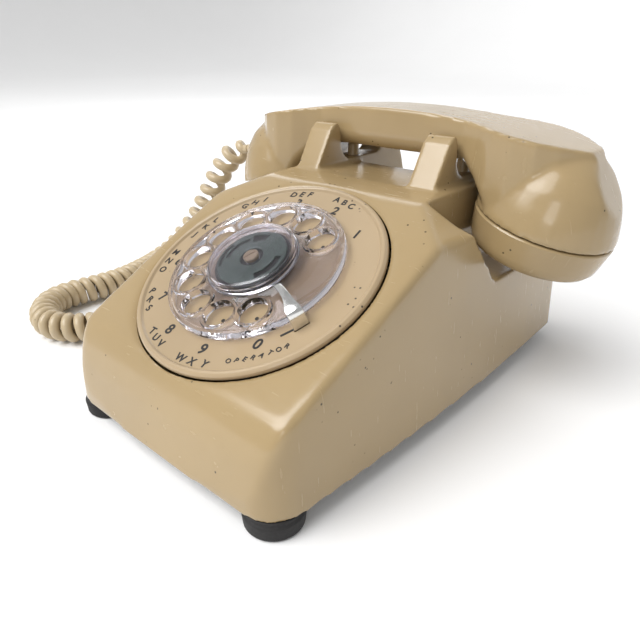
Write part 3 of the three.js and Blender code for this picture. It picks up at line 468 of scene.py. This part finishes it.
def catmull(route, per_span):
    """Points along the centripetal curve through the route."""
    points = [Vector(p) * MM for p in route]
    points = [2 * points[0] - points[1]] + points + [2 * points[-1] - points[-2]]
    line = []
    for a, b, c, d in zip(points, points[1:], points[2:], points[3:]):
        t1 = math.sqrt((b - a).length)
        t2 = t1 + math.sqrt((c - b).length)
        t3 = t2 + math.sqrt((d - c).length)
        for i in range(per_span):
            t = t1 + (t2 - t1) * i / per_span
            p = a.lerp(b, t / t1)
            q = b.lerp(c, (t - t1) / (t2 - t1))
            r = c.lerp(d, (t - t2) / (t3 - t2))
            line.append(p.lerp(q, t / t2).lerp(q.lerp(r, (t - t1) / (t3 - t1)), (t - t1) / (t2 - t1)))
    return line + [points[-2]]


def curl(line, radius, tight, loose, per_turn=16):
    """The line of the wire that winds round the cord's middle line."""
    runs = [0.0]
    for a, b in zip(line, line[1:]):
        runs.append(runs[-1] + (b - a).length)
    total = runs[-1]
    side = Vector((0, 1, 0))
    wire, turn, where, index = [], 0.0, 0.0, 0
    while where < total:
        while runs[index + 1] < where:
            index += 1
        share = (where - runs[index]) / (runs[index + 1] - runs[index])
        centre = line[index].lerp(line[index + 1], share)
        along = (line[index + 1] - line[index]).normalized()
        side = (side - along * side.dot(along)).normalized()
        other = along.cross(side)
        # The wire is straight for a little at each end, where it goes into its relief.
        open_out = ramp(where, CORD_PLAIN, CORD_LEAD) * ramp(total - where, CORD_PLAIN, CORD_LEAD)
        open_out = open_out * open_out * (3 - 2 * open_out)
        wire.append(centre + (side * math.cos(turn) + other * math.sin(turn)) * radius * open_out)
        hang = ramp(centre.z, 0.008, 0.03) * ramp(-centre.x, 0.11, 0.12)
        pitch = tight + (loose - tight) * hang
        where += pitch / per_turn
        turn += 2 * math.pi / per_turn
    wire[-1] = line[-1]
    return wire


class TELEPHONE_OT_cord(bpy.types.Operator):
    """The curled handset cord and the reliefs at its two ends"""

    bl_idname = "telephone.cord"
    bl_label = "Handset Cord"

    def execute(self, context):
        sizes = context.scene.telephone_sizes
        at_handset = Matrix.Translation(RELIEF_ROOT) @ Matrix.Rotation(-math.pi / 2 - RELIEF_DIP, 4, "Y")
        at_base = Matrix.Translation(INLET_ROOT) @ Matrix.Rotation(-math.pi / 2, 4, "Y")
        self.relief("handset_relief", at_handset,
                    [(0, -6.7), (3.6, -6.7), (3.6, 1), (4.1, 1.3), (4.1, 2.5), (3.5, 3), (3.4, 4.6), (3.7, 4.9),
                     (3.7, 6.1), (3.2, 6.5), (3.1, 8), (3.4, 8.3), (3.4, 9.5), (2.9, 10), (2.7, 12), (0, 12)],
                    "handset", "cord_relief_handset")
        self.relief("base_relief", at_base,
                    [(0, -7), (6, -7), (6, -5.9), (7.4, -5.7), (7.4, -4.8), (6, -4.6), (6, 0.6), (6.4, 1), (6.4, 2.6),
                     (5.4, 3.2), (5.2, 4.2), (5.6, 4.6), (5.6, 5.8), (4.6, 6.4), (4.2, 8.2), (3.4, 9), (0, 9)],
                    "base", "cord_relief_base")
        line = catmull(CORD_ROUTE, 14)
        wire = curl(line, sizes.curl - sizes.wire / 2, sizes.tight_pitch, sizes.open_pitch)
        cord = self.tube(wire, sizes.wire)
        cord.name = cord.data.name = "curled_cord"
        finishes()["cord"].on(cord)
        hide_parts("handset_cord")
        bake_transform(cord)
        return {"FINISHED"}

    def relief(self, name, place, profile, body, node):
        piece = spun(name, profile, 40)
        bevel(piece, 0.15 * MM, 2)
        settle(piece, place)
        smooth(piece, 40)
        done(piece, "cord", body, "cord_plastic", node)

    def tube(self, wire, thickness):
        curve = bpy.data.curves.new("cord_line", "CURVE")
        curve.dimensions = "3D"
        curve.bevel_depth = thickness / 2
        curve.bevel_resolution = 3
        curve.use_fill_caps = True
        spline = curve.splines.new("POLY")
        spline.points.add(len(wire) - 1)
        for point, place in zip(spline.points, wire):
            point.co = (*place, 1)
        holder = bpy.data.objects.new("cord_line", curve)
        bpy.context.scene.collection.objects.link(holder)
        pick(holder)
        bpy.ops.object.convert(target="MESH")
        cord = bpy.context.active_object
        bpy.ops.object.shade_smooth()
        return cord


# ---------- housing ----------
class TELEPHONE_OT_housing(bpy.types.Operator):
    """The moulded housing with its cradle ears"""

    bl_idname = "telephone.housing"
    bl_label = "Housing"

    def execute(self, context):
        hole = context.scene.telephone_sizes.plate_radius + 0.75 * MM
        to_dial = DIAL.inverted()
        holes = [(INLET_ROOT, 0.0075), (Vector((0.024, 0.1145, 0.018)), 0.0065)]

        def firm(point):
            """1 where the skin may be rounded, 0 round each opening."""
            local = to_dial @ point
            share = 1.0
            if local.z < -0.0012 and math.hypot(local.x, local.y) < hole + 0.004:
                share = ramp(local.z, -0.008, -0.010)
            for centre, reach in holes:
                share *= ramp((point - centre).length, reach, reach + 0.002)
            if point.z > 0.09:
                bore = math.hypot(abs(point.x) - PLUNGER_X, point.y - CRADLE_Y)
                share *= ramp(bore, 0.0036, 0.0050)
            return share

        def broad(point):
            """The big soft edges round the face: its sides and its front lip."""
            depth = (to_dial @ point).z
            crease = ramp(depth, -0.022, -0.012)
            front = 1 - ramp(point.y, -0.012, 0.004)
            return firm(point) * crease * front * ramp(point.z, 0.020, 0.030)

        def corners(point):
            """The upright corners, whose facets are only softened."""
            return firm(point) * (1 - ramp(point.z, 0.052, 0.060)) * ramp(point.z, 0.0105, 0.014)

        housing = cast("housing_shell", "housing", SKIN)
        rounded(housing, broad, 60)
        rounded(housing, corners, 14)
        rounded(housing, firm, 5)
        modify(housing, "DECIMATE", ratio=self.share(housing, 150000))
        # The rim and the dial's hole are trimmed, so that their edges are crisp.
        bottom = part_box("housing_shell")[0].z
        cut(housing, block((-0.2, -0.2, -0.02), (0.2, 0.2, bottom + 0.35 * MM)))
        cut(housing, settle(pin(hole, -7 * MM, 14 * MM, vertices=192), DIAL))
        smooth(housing, 40)
        done(housing, "body", "base", "tan_plastic", "housing_shell")
        return {"FINISHED"}

    def share(self, piece, most):
        triangles = sum(len(face.vertices) - 2 for face in piece.data.polygons)
        return min(1, most / triangles)


class TELEPHONE_OT_underside(bpy.types.Operator):
    """The four feet and the grommet for the line cord"""

    bl_idname = "telephone.underside"
    bl_label = "Feet and Grommet"

    def execute(self, context):
        radius = context.scene.telephone_sizes.foot_radius / MM
        for end in ("front", "rear"):
            for side in ("left", "right"):
                node = f"foot_{end}_{side}"
                low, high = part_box(node)
                centre = (low + high) / 2
                foot = spun("rubber_" + node, [
                    (0, 0.8), (4.5, 0.8), (5.2, 0), (radius - 1.2, 0), (radius - 0.5, 0.8),
                    (radius, 6.2), (radius - 0.8, 7.2), (radius - 0.8, 8.5), (0, 8.5)], 64)
                bevel(foot, 0.35 * MM, 3)
                settle(foot, Matrix.Translation((centre.x, centre.y, 0)))
                smooth(foot)
                done(foot, "rubber", "base", "rubber", node)
        lean = math.atan(0.193)
        low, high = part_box("line_inlet")
        centre = (low + high) / 2
        grommet = spun("line_grommet", [
            (1.9, -4.4), (6, -4.4), (6, -3), (4.2, -3), (4.2, 0.3), (5.4, 0.3), (5.2, 0.9), (2.6, 1.1),
            (1.9, 0.6), (1.9, -4.4)], 48)
        bevel(grommet, 0.12 * MM, 2)
        settle(grommet, Matrix.Translation((centre.x, 0.1146, 0.018)) @ Matrix.Rotation(-math.pi / 2 + lean, 4, "X"))
        smooth(grommet)
        done(grommet, "rubber", "base", "rubber", "line_inlet")
        return {"FINISHED"}


# ---------- dial ----------
PLATE_TOP = 0.3  # the plate's face above the dial's own zero, in mm
STOP_TURN = Matrix.Rotation(math.radians(-24), 4, "Z")
FIRST_HOLE = 47  # degrees round the dial
HOLE_STEP = 29.4
DIGIT_RING = 44.1  # radii of the printed rings, in mm
ZERO_RING = 42.7
LETTER_RING = 50.4
WORD_RING = 48.6
DIGITS = "1234567890"
DIGIT_ANGLES = (47.9, 76.4, 105.6, 135.0, 163.9, 193.7, 222.6, 252.2, 281.6, 312.2)
LETTERS = (
    ("ABC", (82.9, 77.3, 71.7)),
    ("DEF", (111.1, 106.1, 101.1)),
    ("GHI", (140.1, 134.0, 127.9)),
    ("JKL", (171.9, 164.9, 157.9)),
    ("MNO", (187.2, 193.8, 200.3)),
    ("PRS", (215.9, 222.0, 228.3)),
    ("TUV", (245.7, 251.3, 257.0)),
    ("WXY", (273.4, 280.3, 287.3)),
)


def hole_places(sizes):
    """The middles of the finger holes, on the dial's own axes."""
    return [polar(sizes.hole_circle, FIRST_HOLE + HOLE_STEP * k) for k in range(len(DIGITS))]


class TELEPHONE_OT_number_plate(bpy.types.Operator):
    """The number plate with its print, and a black strip of painted shade beside the finger stop"""

    bl_idname = "telephone.number_plate"
    bl_label = "Number Plate"

    def execute(self, context):
        sizes = context.scene.telephone_sizes
        edge = sizes.plate_radius / MM
        plate = spun("dial_number_plate", [
            (11, -1.6), (edge - 0.8, -1.6), (edge - 0.1, -1.2), (edge, -0.5), (edge - 0.2, 0.4), (edge - 0.7, 1.05),
            (edge - 1.4, 1.45), (edge - 2.1, 1.5), (edge - 2.6, 1.3), (edge - 3, 0.8), (edge - 3.4, 0.45),
            (edge - 4, PLATE_TOP), (12, PLATE_TOP), (11, PLATE_TOP - 0.4), (11, -1.6)], 192)
        cut(plate, settle(block((42.45 * MM, -3.35 * MM, -5 * MM), (43.95 * MM, 3.35 * MM, 5 * MM)), STOP_TURN))
        settle(plate, DIAL)
        smooth(plate, 25)
        done(plate, "plate", "base", "plate_plastic", "number_plate")

        marks = []
        for digit, angle in zip(DIGITS, DIGIT_ANGLES):
            ring = ZERO_RING if digit == "0" else DIGIT_RING
            marks.append(self.mark(digit, ring, angle, 6.9, 0.16))
        for group, angles in LETTERS:
            for letter, angle in zip(group, angles):
                marks.append(self.mark(letter, LETTER_RING, angle, 4.7, 0.13))
        for k, letter in enumerate("OPERATOR"):
            marks.append(self.mark(letter, WORD_RING, -61.5 + 3.9 * k, 3.0, 0.09))
        for x, y in hole_places(sizes):
            marks.append(pin(0.85 * MM, PLATE_TOP * MM, (PLATE_TOP + 0.1) * MM, x, y, 24))
        # The black strip beside the finger stop is painted shade of a slot, not print.
        marks.append(self.dash())
        print_and_painted_shade = joined(marks, "dial_marks")
        settle(print_and_painted_shade, DIAL)
        done(print_and_painted_shade, "marks", "base", "plate_plastic")
        return {"FINISHED"}

    def mark(self, letter, radius, angle, size, weight):
        """One upright character, its middle on the given place."""
        x, y = polar(radius * MM, angle)
        deselect()
        bpy.ops.object.text_add(location=(x, y, (PLATE_TOP + 0.06) * MM))
        text = bpy.context.active_object
        text.data.body = letter
        text.data.size = size * MM
        text.data.offset = weight * MM
        text.data.extrude = 0.05 * MM
        text.data.resolution_u = 4
        text.data.align_x = "CENTER"
        text.data.align_y = "CENTER"
        bpy.ops.object.convert(target="MESH")
        return settle(bpy.context.active_object)

    def dash(self):
        """The short black line beside the finger stop: painted shade where the slot beside the stop shows dark."""
        low = (41.9 * MM, -3 * MM, PLATE_TOP * MM)
        high = (42.9 * MM, 3 * MM, (PLATE_TOP + 0.1) * MM)
        return settle(block(low, high), Matrix.Rotation(math.radians(-31.5), 4, "Z"))


class TELEPHONE_OT_finger_wheel(bpy.types.Operator):
    """The clear finger wheel"""

    bl_idname = "telephone.finger_wheel"
    bl_label = "Finger Wheel"

    def execute(self, context):
        sizes = context.scene.telephone_sizes
        edge = sizes.wheel_radius / MM
        wheel = spun("clear_finger_wheel", [
            (3.4, 1.9), (edge - 3.2, 1.9), (edge - 2.4, 1.6), (edge, 1.6), (edge, 4.3), (edge - 0.5, 4.9),
            (edge - 1.6, 5), (edge - 2.4, 4.4), (22.4, 4.4), (21.6, 4.9), (3.4, 4.9), (3.4, 1.9)], 144)
        places = hole_places(sizes)
        collars = []
        for x, y in places:
            collar = spun("collar", [
                (5.4, 1.7), (8.1, 1.7), (8.1, 4.7), (7.7, 5.2), (7.1, 5.3), (5.4, 5.3), (5.4, 1.7)], 48)
            collars.append(settle(collar, Matrix.Translation((x, y, 0))))
        for collar in collars:
            cut(wheel, collar, "UNION")
        for x, y in places:
            cut(wheel, pin(sizes.hole_radius, 0, 0.008, x, y, 56))
        bevel(wheel, 0.3 * MM, 3, 40)
        settle(wheel, DIAL)
        smooth(wheel, 40)
        done(wheel, "clear", "dial_rotor", "clear_plastic", "finger_wheel")
        return {"FINISHED"}


class TELEPHONE_OT_hub(bpy.types.Operator):
    """The hub: clear cover, card, centre button and the clip under them"""

    bl_idname = "telephone.hub"
    bl_label = "Hub"

    def execute(self, context):
        edge = context.scene.telephone_sizes.hub_radius / MM
        cover = spun("clear_hub_cover", [
            (edge - 1.3, 5.5), (edge, 5.5), (edge, 6.4), (edge - 0.5, 6.8), (edge - 0.5, 8), (edge - 1, 8.3),
            (edge - 1, 9), (edge - 1.8, 9.7), (edge - 4, 10.2), (0, 10.4), (0, 9.5), (edge - 4.4, 9.3),
            (edge - 2.4, 8.8), (edge - 1.9, 8), (edge - 1.3, 5.5)], 128)
        settle(cover, DIAL)
        smooth(cover, 20)
        done(cover, "clear", "dial_rotor", "clear_plastic", "hub_cover")

        card = spun("hub_number_card", [
            (5.2, 6.8), (15.6, 6.8), (15.6, 7.2), (15.2, 7.5), (6, 7.5), (5.2, 7.2), (5.2, 6.8)], 96)
        slots = ((20, 62, 11.2, 14.0), (205, 70, 10.2, 12.2), (225, 55, 13.0, 14.6), (128, 34, 9.6, 13.6))
        for start, sweep, inner, outer in slots:
            cut(card, self.arc(start, sweep, inner, outer))
        settle(card, DIAL)
        smooth(card)
        done(card, "card", "dial_rotor", "card", "hub_card")

        clip = spun("wheel_clip_disc", [
            (3.3, 5.3), (17, 5.3), (17, 5.9), (16.6, 6.2), (9, 6.2), (8.4, 5.8), (3.3, 5.8), (3.3, 5.3)], 96)
        settle(clip, DIAL)
        smooth(clip)
        done(clip, "black", "dial_rotor", "steel", "wheel_clip")

        button = spun("hub_centre_button", [
            (0, 6.9), (3.4, 6.9), (3.4, 8.1), (3, 8.5), (0, 8.7)], 48)
        slot = block((-0.35 * MM, -4 * MM, 8.3 * MM), (0.35 * MM, 4 * MM, 9.3 * MM))
        cut(button, settle(slot, Matrix.Rotation(math.radians(-30), 4, "Z")))
        settle(button, DIAL)
        smooth(button)
        done(button, "plate", "dial_rotor", "plate_plastic", "hub_button")
        return {"FINISHED"}

    def arc(self, start, sweep, inner, outer):
        """A curved slot to cut with, spun through part of a turn."""
        tool = spun("slot", [(inner, 6), (outer, 6), (outer, 8.4), (inner, 8.4), (inner, 6)], 18, sweep)
        return settle(tool, Matrix.Rotation(math.radians(start), 4, "Z"))


class TELEPHONE_OT_finger_stop(bpy.types.Operator):
    """The plated finger stop"""

    bl_idname = "telephone.finger_stop"
    bl_label = "Finger Stop"

    def execute(self, context):
        # Each step gives the distance from the dial's centre, the height, the width and the sideways shift.
        steps = [(43.2, -1.6, 6.2, 0), (43.2, 4.4, 6.2, 0), (43.1, 6.6, 6.2, 0), (42.3, 8.1, 6.2, 0),
                 (40.8, 8.7, 6.0, 0), (39, 8.9, 5.2, 0.2), (36.8, 9.2, 4.0, 0.6), (34, 9.5, 3.2, 0.9), (30.5, 9.6, 2.9, 1.0),
                 (27, 9.2, 2.8, 0.9), (24.4, 8.3, 2.6, 0.6), (22.9, 7.3, 2.2, 0.4)]
        deselect()
        bpy.ops.mesh.primitive_plane_add(size=MM)
        stop = named("plated_finger_stop")
        bpy.ops.object.mode_set(mode="EDIT")
        bpy.ops.mesh.merge(type="CENTER")
        bpy.ops.transform.translate(value=(steps[0][0] * MM, -steps[0][2] / 2 * MM, steps[0][1] * MM))
        bpy.ops.mesh.extrude_region_move(TRANSFORM_OT_translate={"value": (0, steps[0][2] * MM, 0)})
        bpy.ops.mesh.select_all(action="SELECT")
        for before, after in zip(steps, steps[1:]):
            move = ((after[0] - before[0]) * MM, (after[3] - before[3]) * MM, (after[1] - before[1]) * MM)
            bpy.ops.mesh.extrude_region_move(TRANSFORM_OT_translate={"value": move})
            centre = (after[0] * MM, after[3] * MM, after[1] * MM)
            bpy.ops.transform.resize(value=(1, after[2] / before[2], 1), center_override=centre)
        outwards()
        bpy.ops.object.mode_set(mode="OBJECT")
        modify(stop, "SOLIDIFY", thickness=1.0 * MM, offset=0)
        bevel(stop, 0.25 * MM, 3, 30)
        settle(stop, DIAL @ STOP_TURN)
        smooth(stop, 40)
        done(stop, "chrome", "base", "chrome", "finger_stop")
        return {"FINISHED"}


# ---------- handset ----------
def cap_place(side):
    """The axes of a handset cap: its seam at Z = 0, its face below."""
    centre = Vector((side * CAP_SEAM.x, CAP_SEAM.y, CAP_SEAM.z))
    return Matrix.Translation(centre) @ Matrix.Rotation(side * CAP_TILT, 4, "Y")


class TELEPHONE_OT_handset(bpy.types.Operator):
    """The handset's handle and its two screwed caps"""

    bl_idname = "telephone.handset"
    bl_label = "Handset"

    def execute(self, context):
        sizes = context.scene.telephone_sizes
        seams = {side: cap_place(side).inverted() for side in (-1, 1)}

        def firm(point):
            local = seams[1 if point.x > 0 else -1] @ point
            near_seam = 1 - ramp(local.z, 0.0008, 0.0022) if abs(point.x) > 0.044 else 0
            relief = ramp((point - RELIEF_ROOT).length, 0.006, 0.009)
            return (1 - near_seam) * relief

        def cups(point):
            local = seams[1 if point.x > 0 else -1] @ point
            crown = 0.128 - 0.0114 * (point.x / 0.0955) ** 2
            under_crown = ramp(crown - point.z, 0.003, 0.008)
            return firm(point) * ramp(abs(point.x), 0.050, 0.060) * under_crown * ramp(local.z, 0.001, 0.005)

        handle = cast("handset_handle", "handset_grip", SKIN)
        rounded(handle, cups, 24)
        rounded(handle, firm, 4)
        for side in (-1, 1):
            cut(handle, settle(pin(0.045, -0.05, 0.7 * MM, vertices=64), cap_place(side)))
        smooth(handle, 40)
        done(handle, "body", "handset", "tan_plastic", "handset_handle")

        for name, side, rings in (("transmitter", -1, ((0, 1), (6, 6), (12, 12))), ("receiver", 1, ((0, 1), (5, 6)))):
            r = sizes.cap_radius / MM
            h = sizes.cap_height / MM
            cap = spun(name + "_screw_cap", [
                (0, -h + 0.6), (13, -h + 0.6), (19, -h + 0.2), (24, -h), (26.5, -h + 0.3), (28.6, -h + 1.4),
                (r - 2.3, -h + 3.6), (r - 1.6, -h + 6.5), (r - 0.7, -h + 12), (r - 0.1, -1), (r - 0.5, -0.35),
                (r - 1.2, -0.1), (r - 2.4, -0.1), (r - 4, -h + 6), (r - 6, -h + 2.6), (0, -h + 2.6)], 144)
            for radius, count in rings:
                for k in range(count):
                    x, y = polar(radius * MM, 360 * k / count)
                    cut(cap, pin(1.0 * MM, -0.019, -0.0138, x, y, 16))
            settle(cap, cap_place(side))
            smooth(cap, 30)
            done(cap, "body", "handset", "tan_plastic", name + "_cap")
        return {"FINISHED"}


class TELEPHONE_OT_plungers(bpy.types.Operator):
    """The two plungers that the handset presses down"""

    bl_idname = "telephone.plungers"
    bl_label = "Plungers"

    def execute(self, context):
        for side in ("left", "right"):
            node = "plunger_" + side
            low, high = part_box(node)
            bottom, top = low.z / MM, high.z / MM
            plunger = spun("cradle_" + node, [
                (0, bottom), (1, bottom), (4.2, bottom + 1.8), (4.2, bottom + 2.8), (3, bottom + 2.8),
                (3, top - 1.8), (2.6, top - 0.8), (1.8, top - 0.2), (0, top)], 48)
            bevel(plunger, 0.2 * MM, 2, 30)
            settle(plunger, Matrix.Translation(((low.x + high.x) / 2, CRADLE_Y, 0)))
            smooth(plunger)
            done(plunger, "nub", node, "clear_plastic", node)
        return {"FINISHED"}


# ---------- what is inside ----------
INSIDE = {
    "steel": ("base_plate", "housing_screw_front", "housing_screw_rear", "dial_frame", "motor_spring", "gear_bridge",
              "governor_cup", "dial_support_left", "dial_support_right", "gong_post_left", "gong_post_right",
              "ringer_frame", "volume_bracket", "network_box", "hook_bracket", "hook_pin", "hook_spring", "main_shaft",
              "pulse_shaft", "governor_shaft", "hook_lever", "clapper", "transmitter_unit", "receiver_unit"),
    "brass": ("pulse_contacts", "gong_left", "gong_right", "network_terminals", "hook_contacts", "main_gear",
              "pulse_pinion", "governor_weights"),
    "copper": ("ringer_coil_left", "ringer_coil_right"),
    "black": ("worm_wheel", "pulse_cam", "volume_wheel", "transmitter_cup"),
}


class TELEPHONE_OT_inside(bpy.types.Operator):
    """Finishes for the working parts inside"""

    bl_idname = "telephone.inside"
    bl_label = "Inside"

    def execute(self, context):
        for finish, names in INSIDE.items():
            finishes()[finish].on(*(NODES[name] for name in names))
        return {"FINISHED"}


# ---------- stage ----------
CAMERA_PLACE = Vector((0.16426, -0.20730, 0.15607))
CAMERA_AXES = (  # right, up and back
    (0.75709, 0.65325, 0.00833),
    (-0.29585, 0.33145, 0.89589),
    (0.58248, -0.68073, 0.44421),
)


class TELEPHONE_OT_stage(bpy.types.Operator):
    """The floor, the lights and the camera"""

    bl_idname = "telephone.stage"
    bl_label = "Stage"

    def execute(self, context):
        floor = self.backdrop()
        pale = Finish("pale_floor", Roughness=0.9)
        tone = tuple(context.scene.telephone_colours.floor)
        pale.set("Base Color", pale.tones(pale.noise(3), (0.3, shade(tone, 0.99)), (0.7, tone)))
        pale.on(floor)

        self.light("key_softbox", (-0.45, -0.75, 1.15), (0, -0.02, 0.06), 1.0, 6)
        self.light("side_strip", (0.55, -0.95, 0.42), (0, -0.1, 0.05), 0.30, 0.9)
        self.light("back_softbox", (-0.9, 0.9, 0.9), (0, 0, 0.05), 0.9, 3)
        self.sun(2.3, (-0.25, -0.55, 0.8))

        world = context.scene.world or bpy.data.worlds.new("pale_room")
        context.scene.world = world
        world.use_nodes = True
        background = world.node_tree.nodes["Background"]
        background.inputs["Color"].default_value = (1, 1, 1, 1)
        background.inputs["Strength"].default_value = 0.42
        context.scene.view_settings.view_transform = "Standard"

        deselect()
        bpy.ops.object.camera_add()
        camera = bpy.context.active_object
        camera.name = "camera"
        camera.data.sensor_width = 36
        camera.data.lens = 31.41
        camera.data.clip_start = 0.01
        place = Matrix(CAMERA_AXES).transposed().to_4x4()
        place.translation = CAMERA_PLACE
        camera.matrix_world = place
        context.scene.camera = camera
        return {"FINISHED"}

    def backdrop(self):
        """A floor that runs up into two walls behind the telephone."""
        deselect()
        bpy.ops.mesh.primitive_plane_add(size=8)
        floor = named("floor")
        bpy.ops.object.mode_set(mode="EDIT")
        bpy.ops.mesh.select_all(action="DESELECT")
        bpy.ops.object.mode_set(mode="OBJECT")
        for corner in floor.data.vertices:
            corner.select = corner.co.x < -3 or corner.co.y > 3
        bpy.ops.object.mode_set(mode="EDIT")
        bpy.ops.mesh.extrude_region_move(TRANSFORM_OT_translate={"value": (0, 0, 5)})
        outwards()
        bpy.ops.object.mode_set(mode="OBJECT")
        bevel(floor, 1.5, 16, 60)
        bpy.ops.object.shade_smooth()
        return floor

    def sun(self, strength, direction):
        deselect()
        bpy.ops.object.light_add(type="SUN")
        lamp = bpy.context.active_object
        lamp.name = "room_light"
        lamp.data.energy = strength
        lamp.data.angle = math.radians(50)
        lamp.rotation_euler = Vector(direction).to_track_quat("Z", "Y").to_euler()

    def light(self, name, place, target, size, power):
        deselect()
        bpy.ops.object.light_add(type="AREA", location=place)
        lamp = bpy.context.active_object
        lamp.name = name
        lamp.data.shape = "DISK"
        lamp.data.size = size
        lamp.data.energy = power
        lamp.rotation_euler = (Vector(target) - Vector(place)).to_track_quat("-Z", "Y").to_euler()


OPERATORS = (
    TELEPHONE_OT_stage,
    TELEPHONE_OT_cord,
    TELEPHONE_OT_housing,
    TELEPHONE_OT_underside,
    TELEPHONE_OT_number_plate,
    TELEPHONE_OT_finger_wheel,
    TELEPHONE_OT_hub,
    TELEPHONE_OT_finger_stop,
    TELEPHONE_OT_handset,
    TELEPHONE_OT_plungers,
    TELEPHONE_OT_inside,
)


class TELEPHONE_PT_pieces(bpy.types.Panel):
    """The sizes, colours and pieces of the telephone"""

    bl_idname = "TELEPHONE_PT_pieces"
    bl_label = "Telephone"
    bl_space_type = "VIEW_3D"
    bl_region_type = "UI"
    bl_category = "Telephone"

    def draw(self, context):
        for group in (context.scene.telephone_sizes, context.scene.telephone_colours):
            box = self.layout.box()
            for key in group.bl_rna.properties.keys():
                if key not in ("rna_type", "name"):
                    box.prop(group, key)
        for operator in OPERATORS:
            self.layout.operator(operator.bl_idname)


CLASSES = (TelephoneSizes, TelephoneColours, *OPERATORS, TELEPHONE_PT_pieces)


def register():
    for each in CLASSES:
        bpy.utils.register_class(each)
    bpy.types.Scene.telephone_sizes = bpy.props.PointerProperty(type=TelephoneSizes)
    bpy.types.Scene.telephone_colours = bpy.props.PointerProperty(type=TelephoneColours)


def unregister():
    del bpy.types.Scene.telephone_colours
    del bpy.types.Scene.telephone_sizes
    for each in reversed(CLASSES):
        bpy.utils.unregister_class(each)


def main():
    register()
    for operator in OPERATORS:
        group, name = operator.bl_idname.split(".")
        getattr(getattr(bpy.ops, group), name)()


if __name__ == "__main__":
    main()
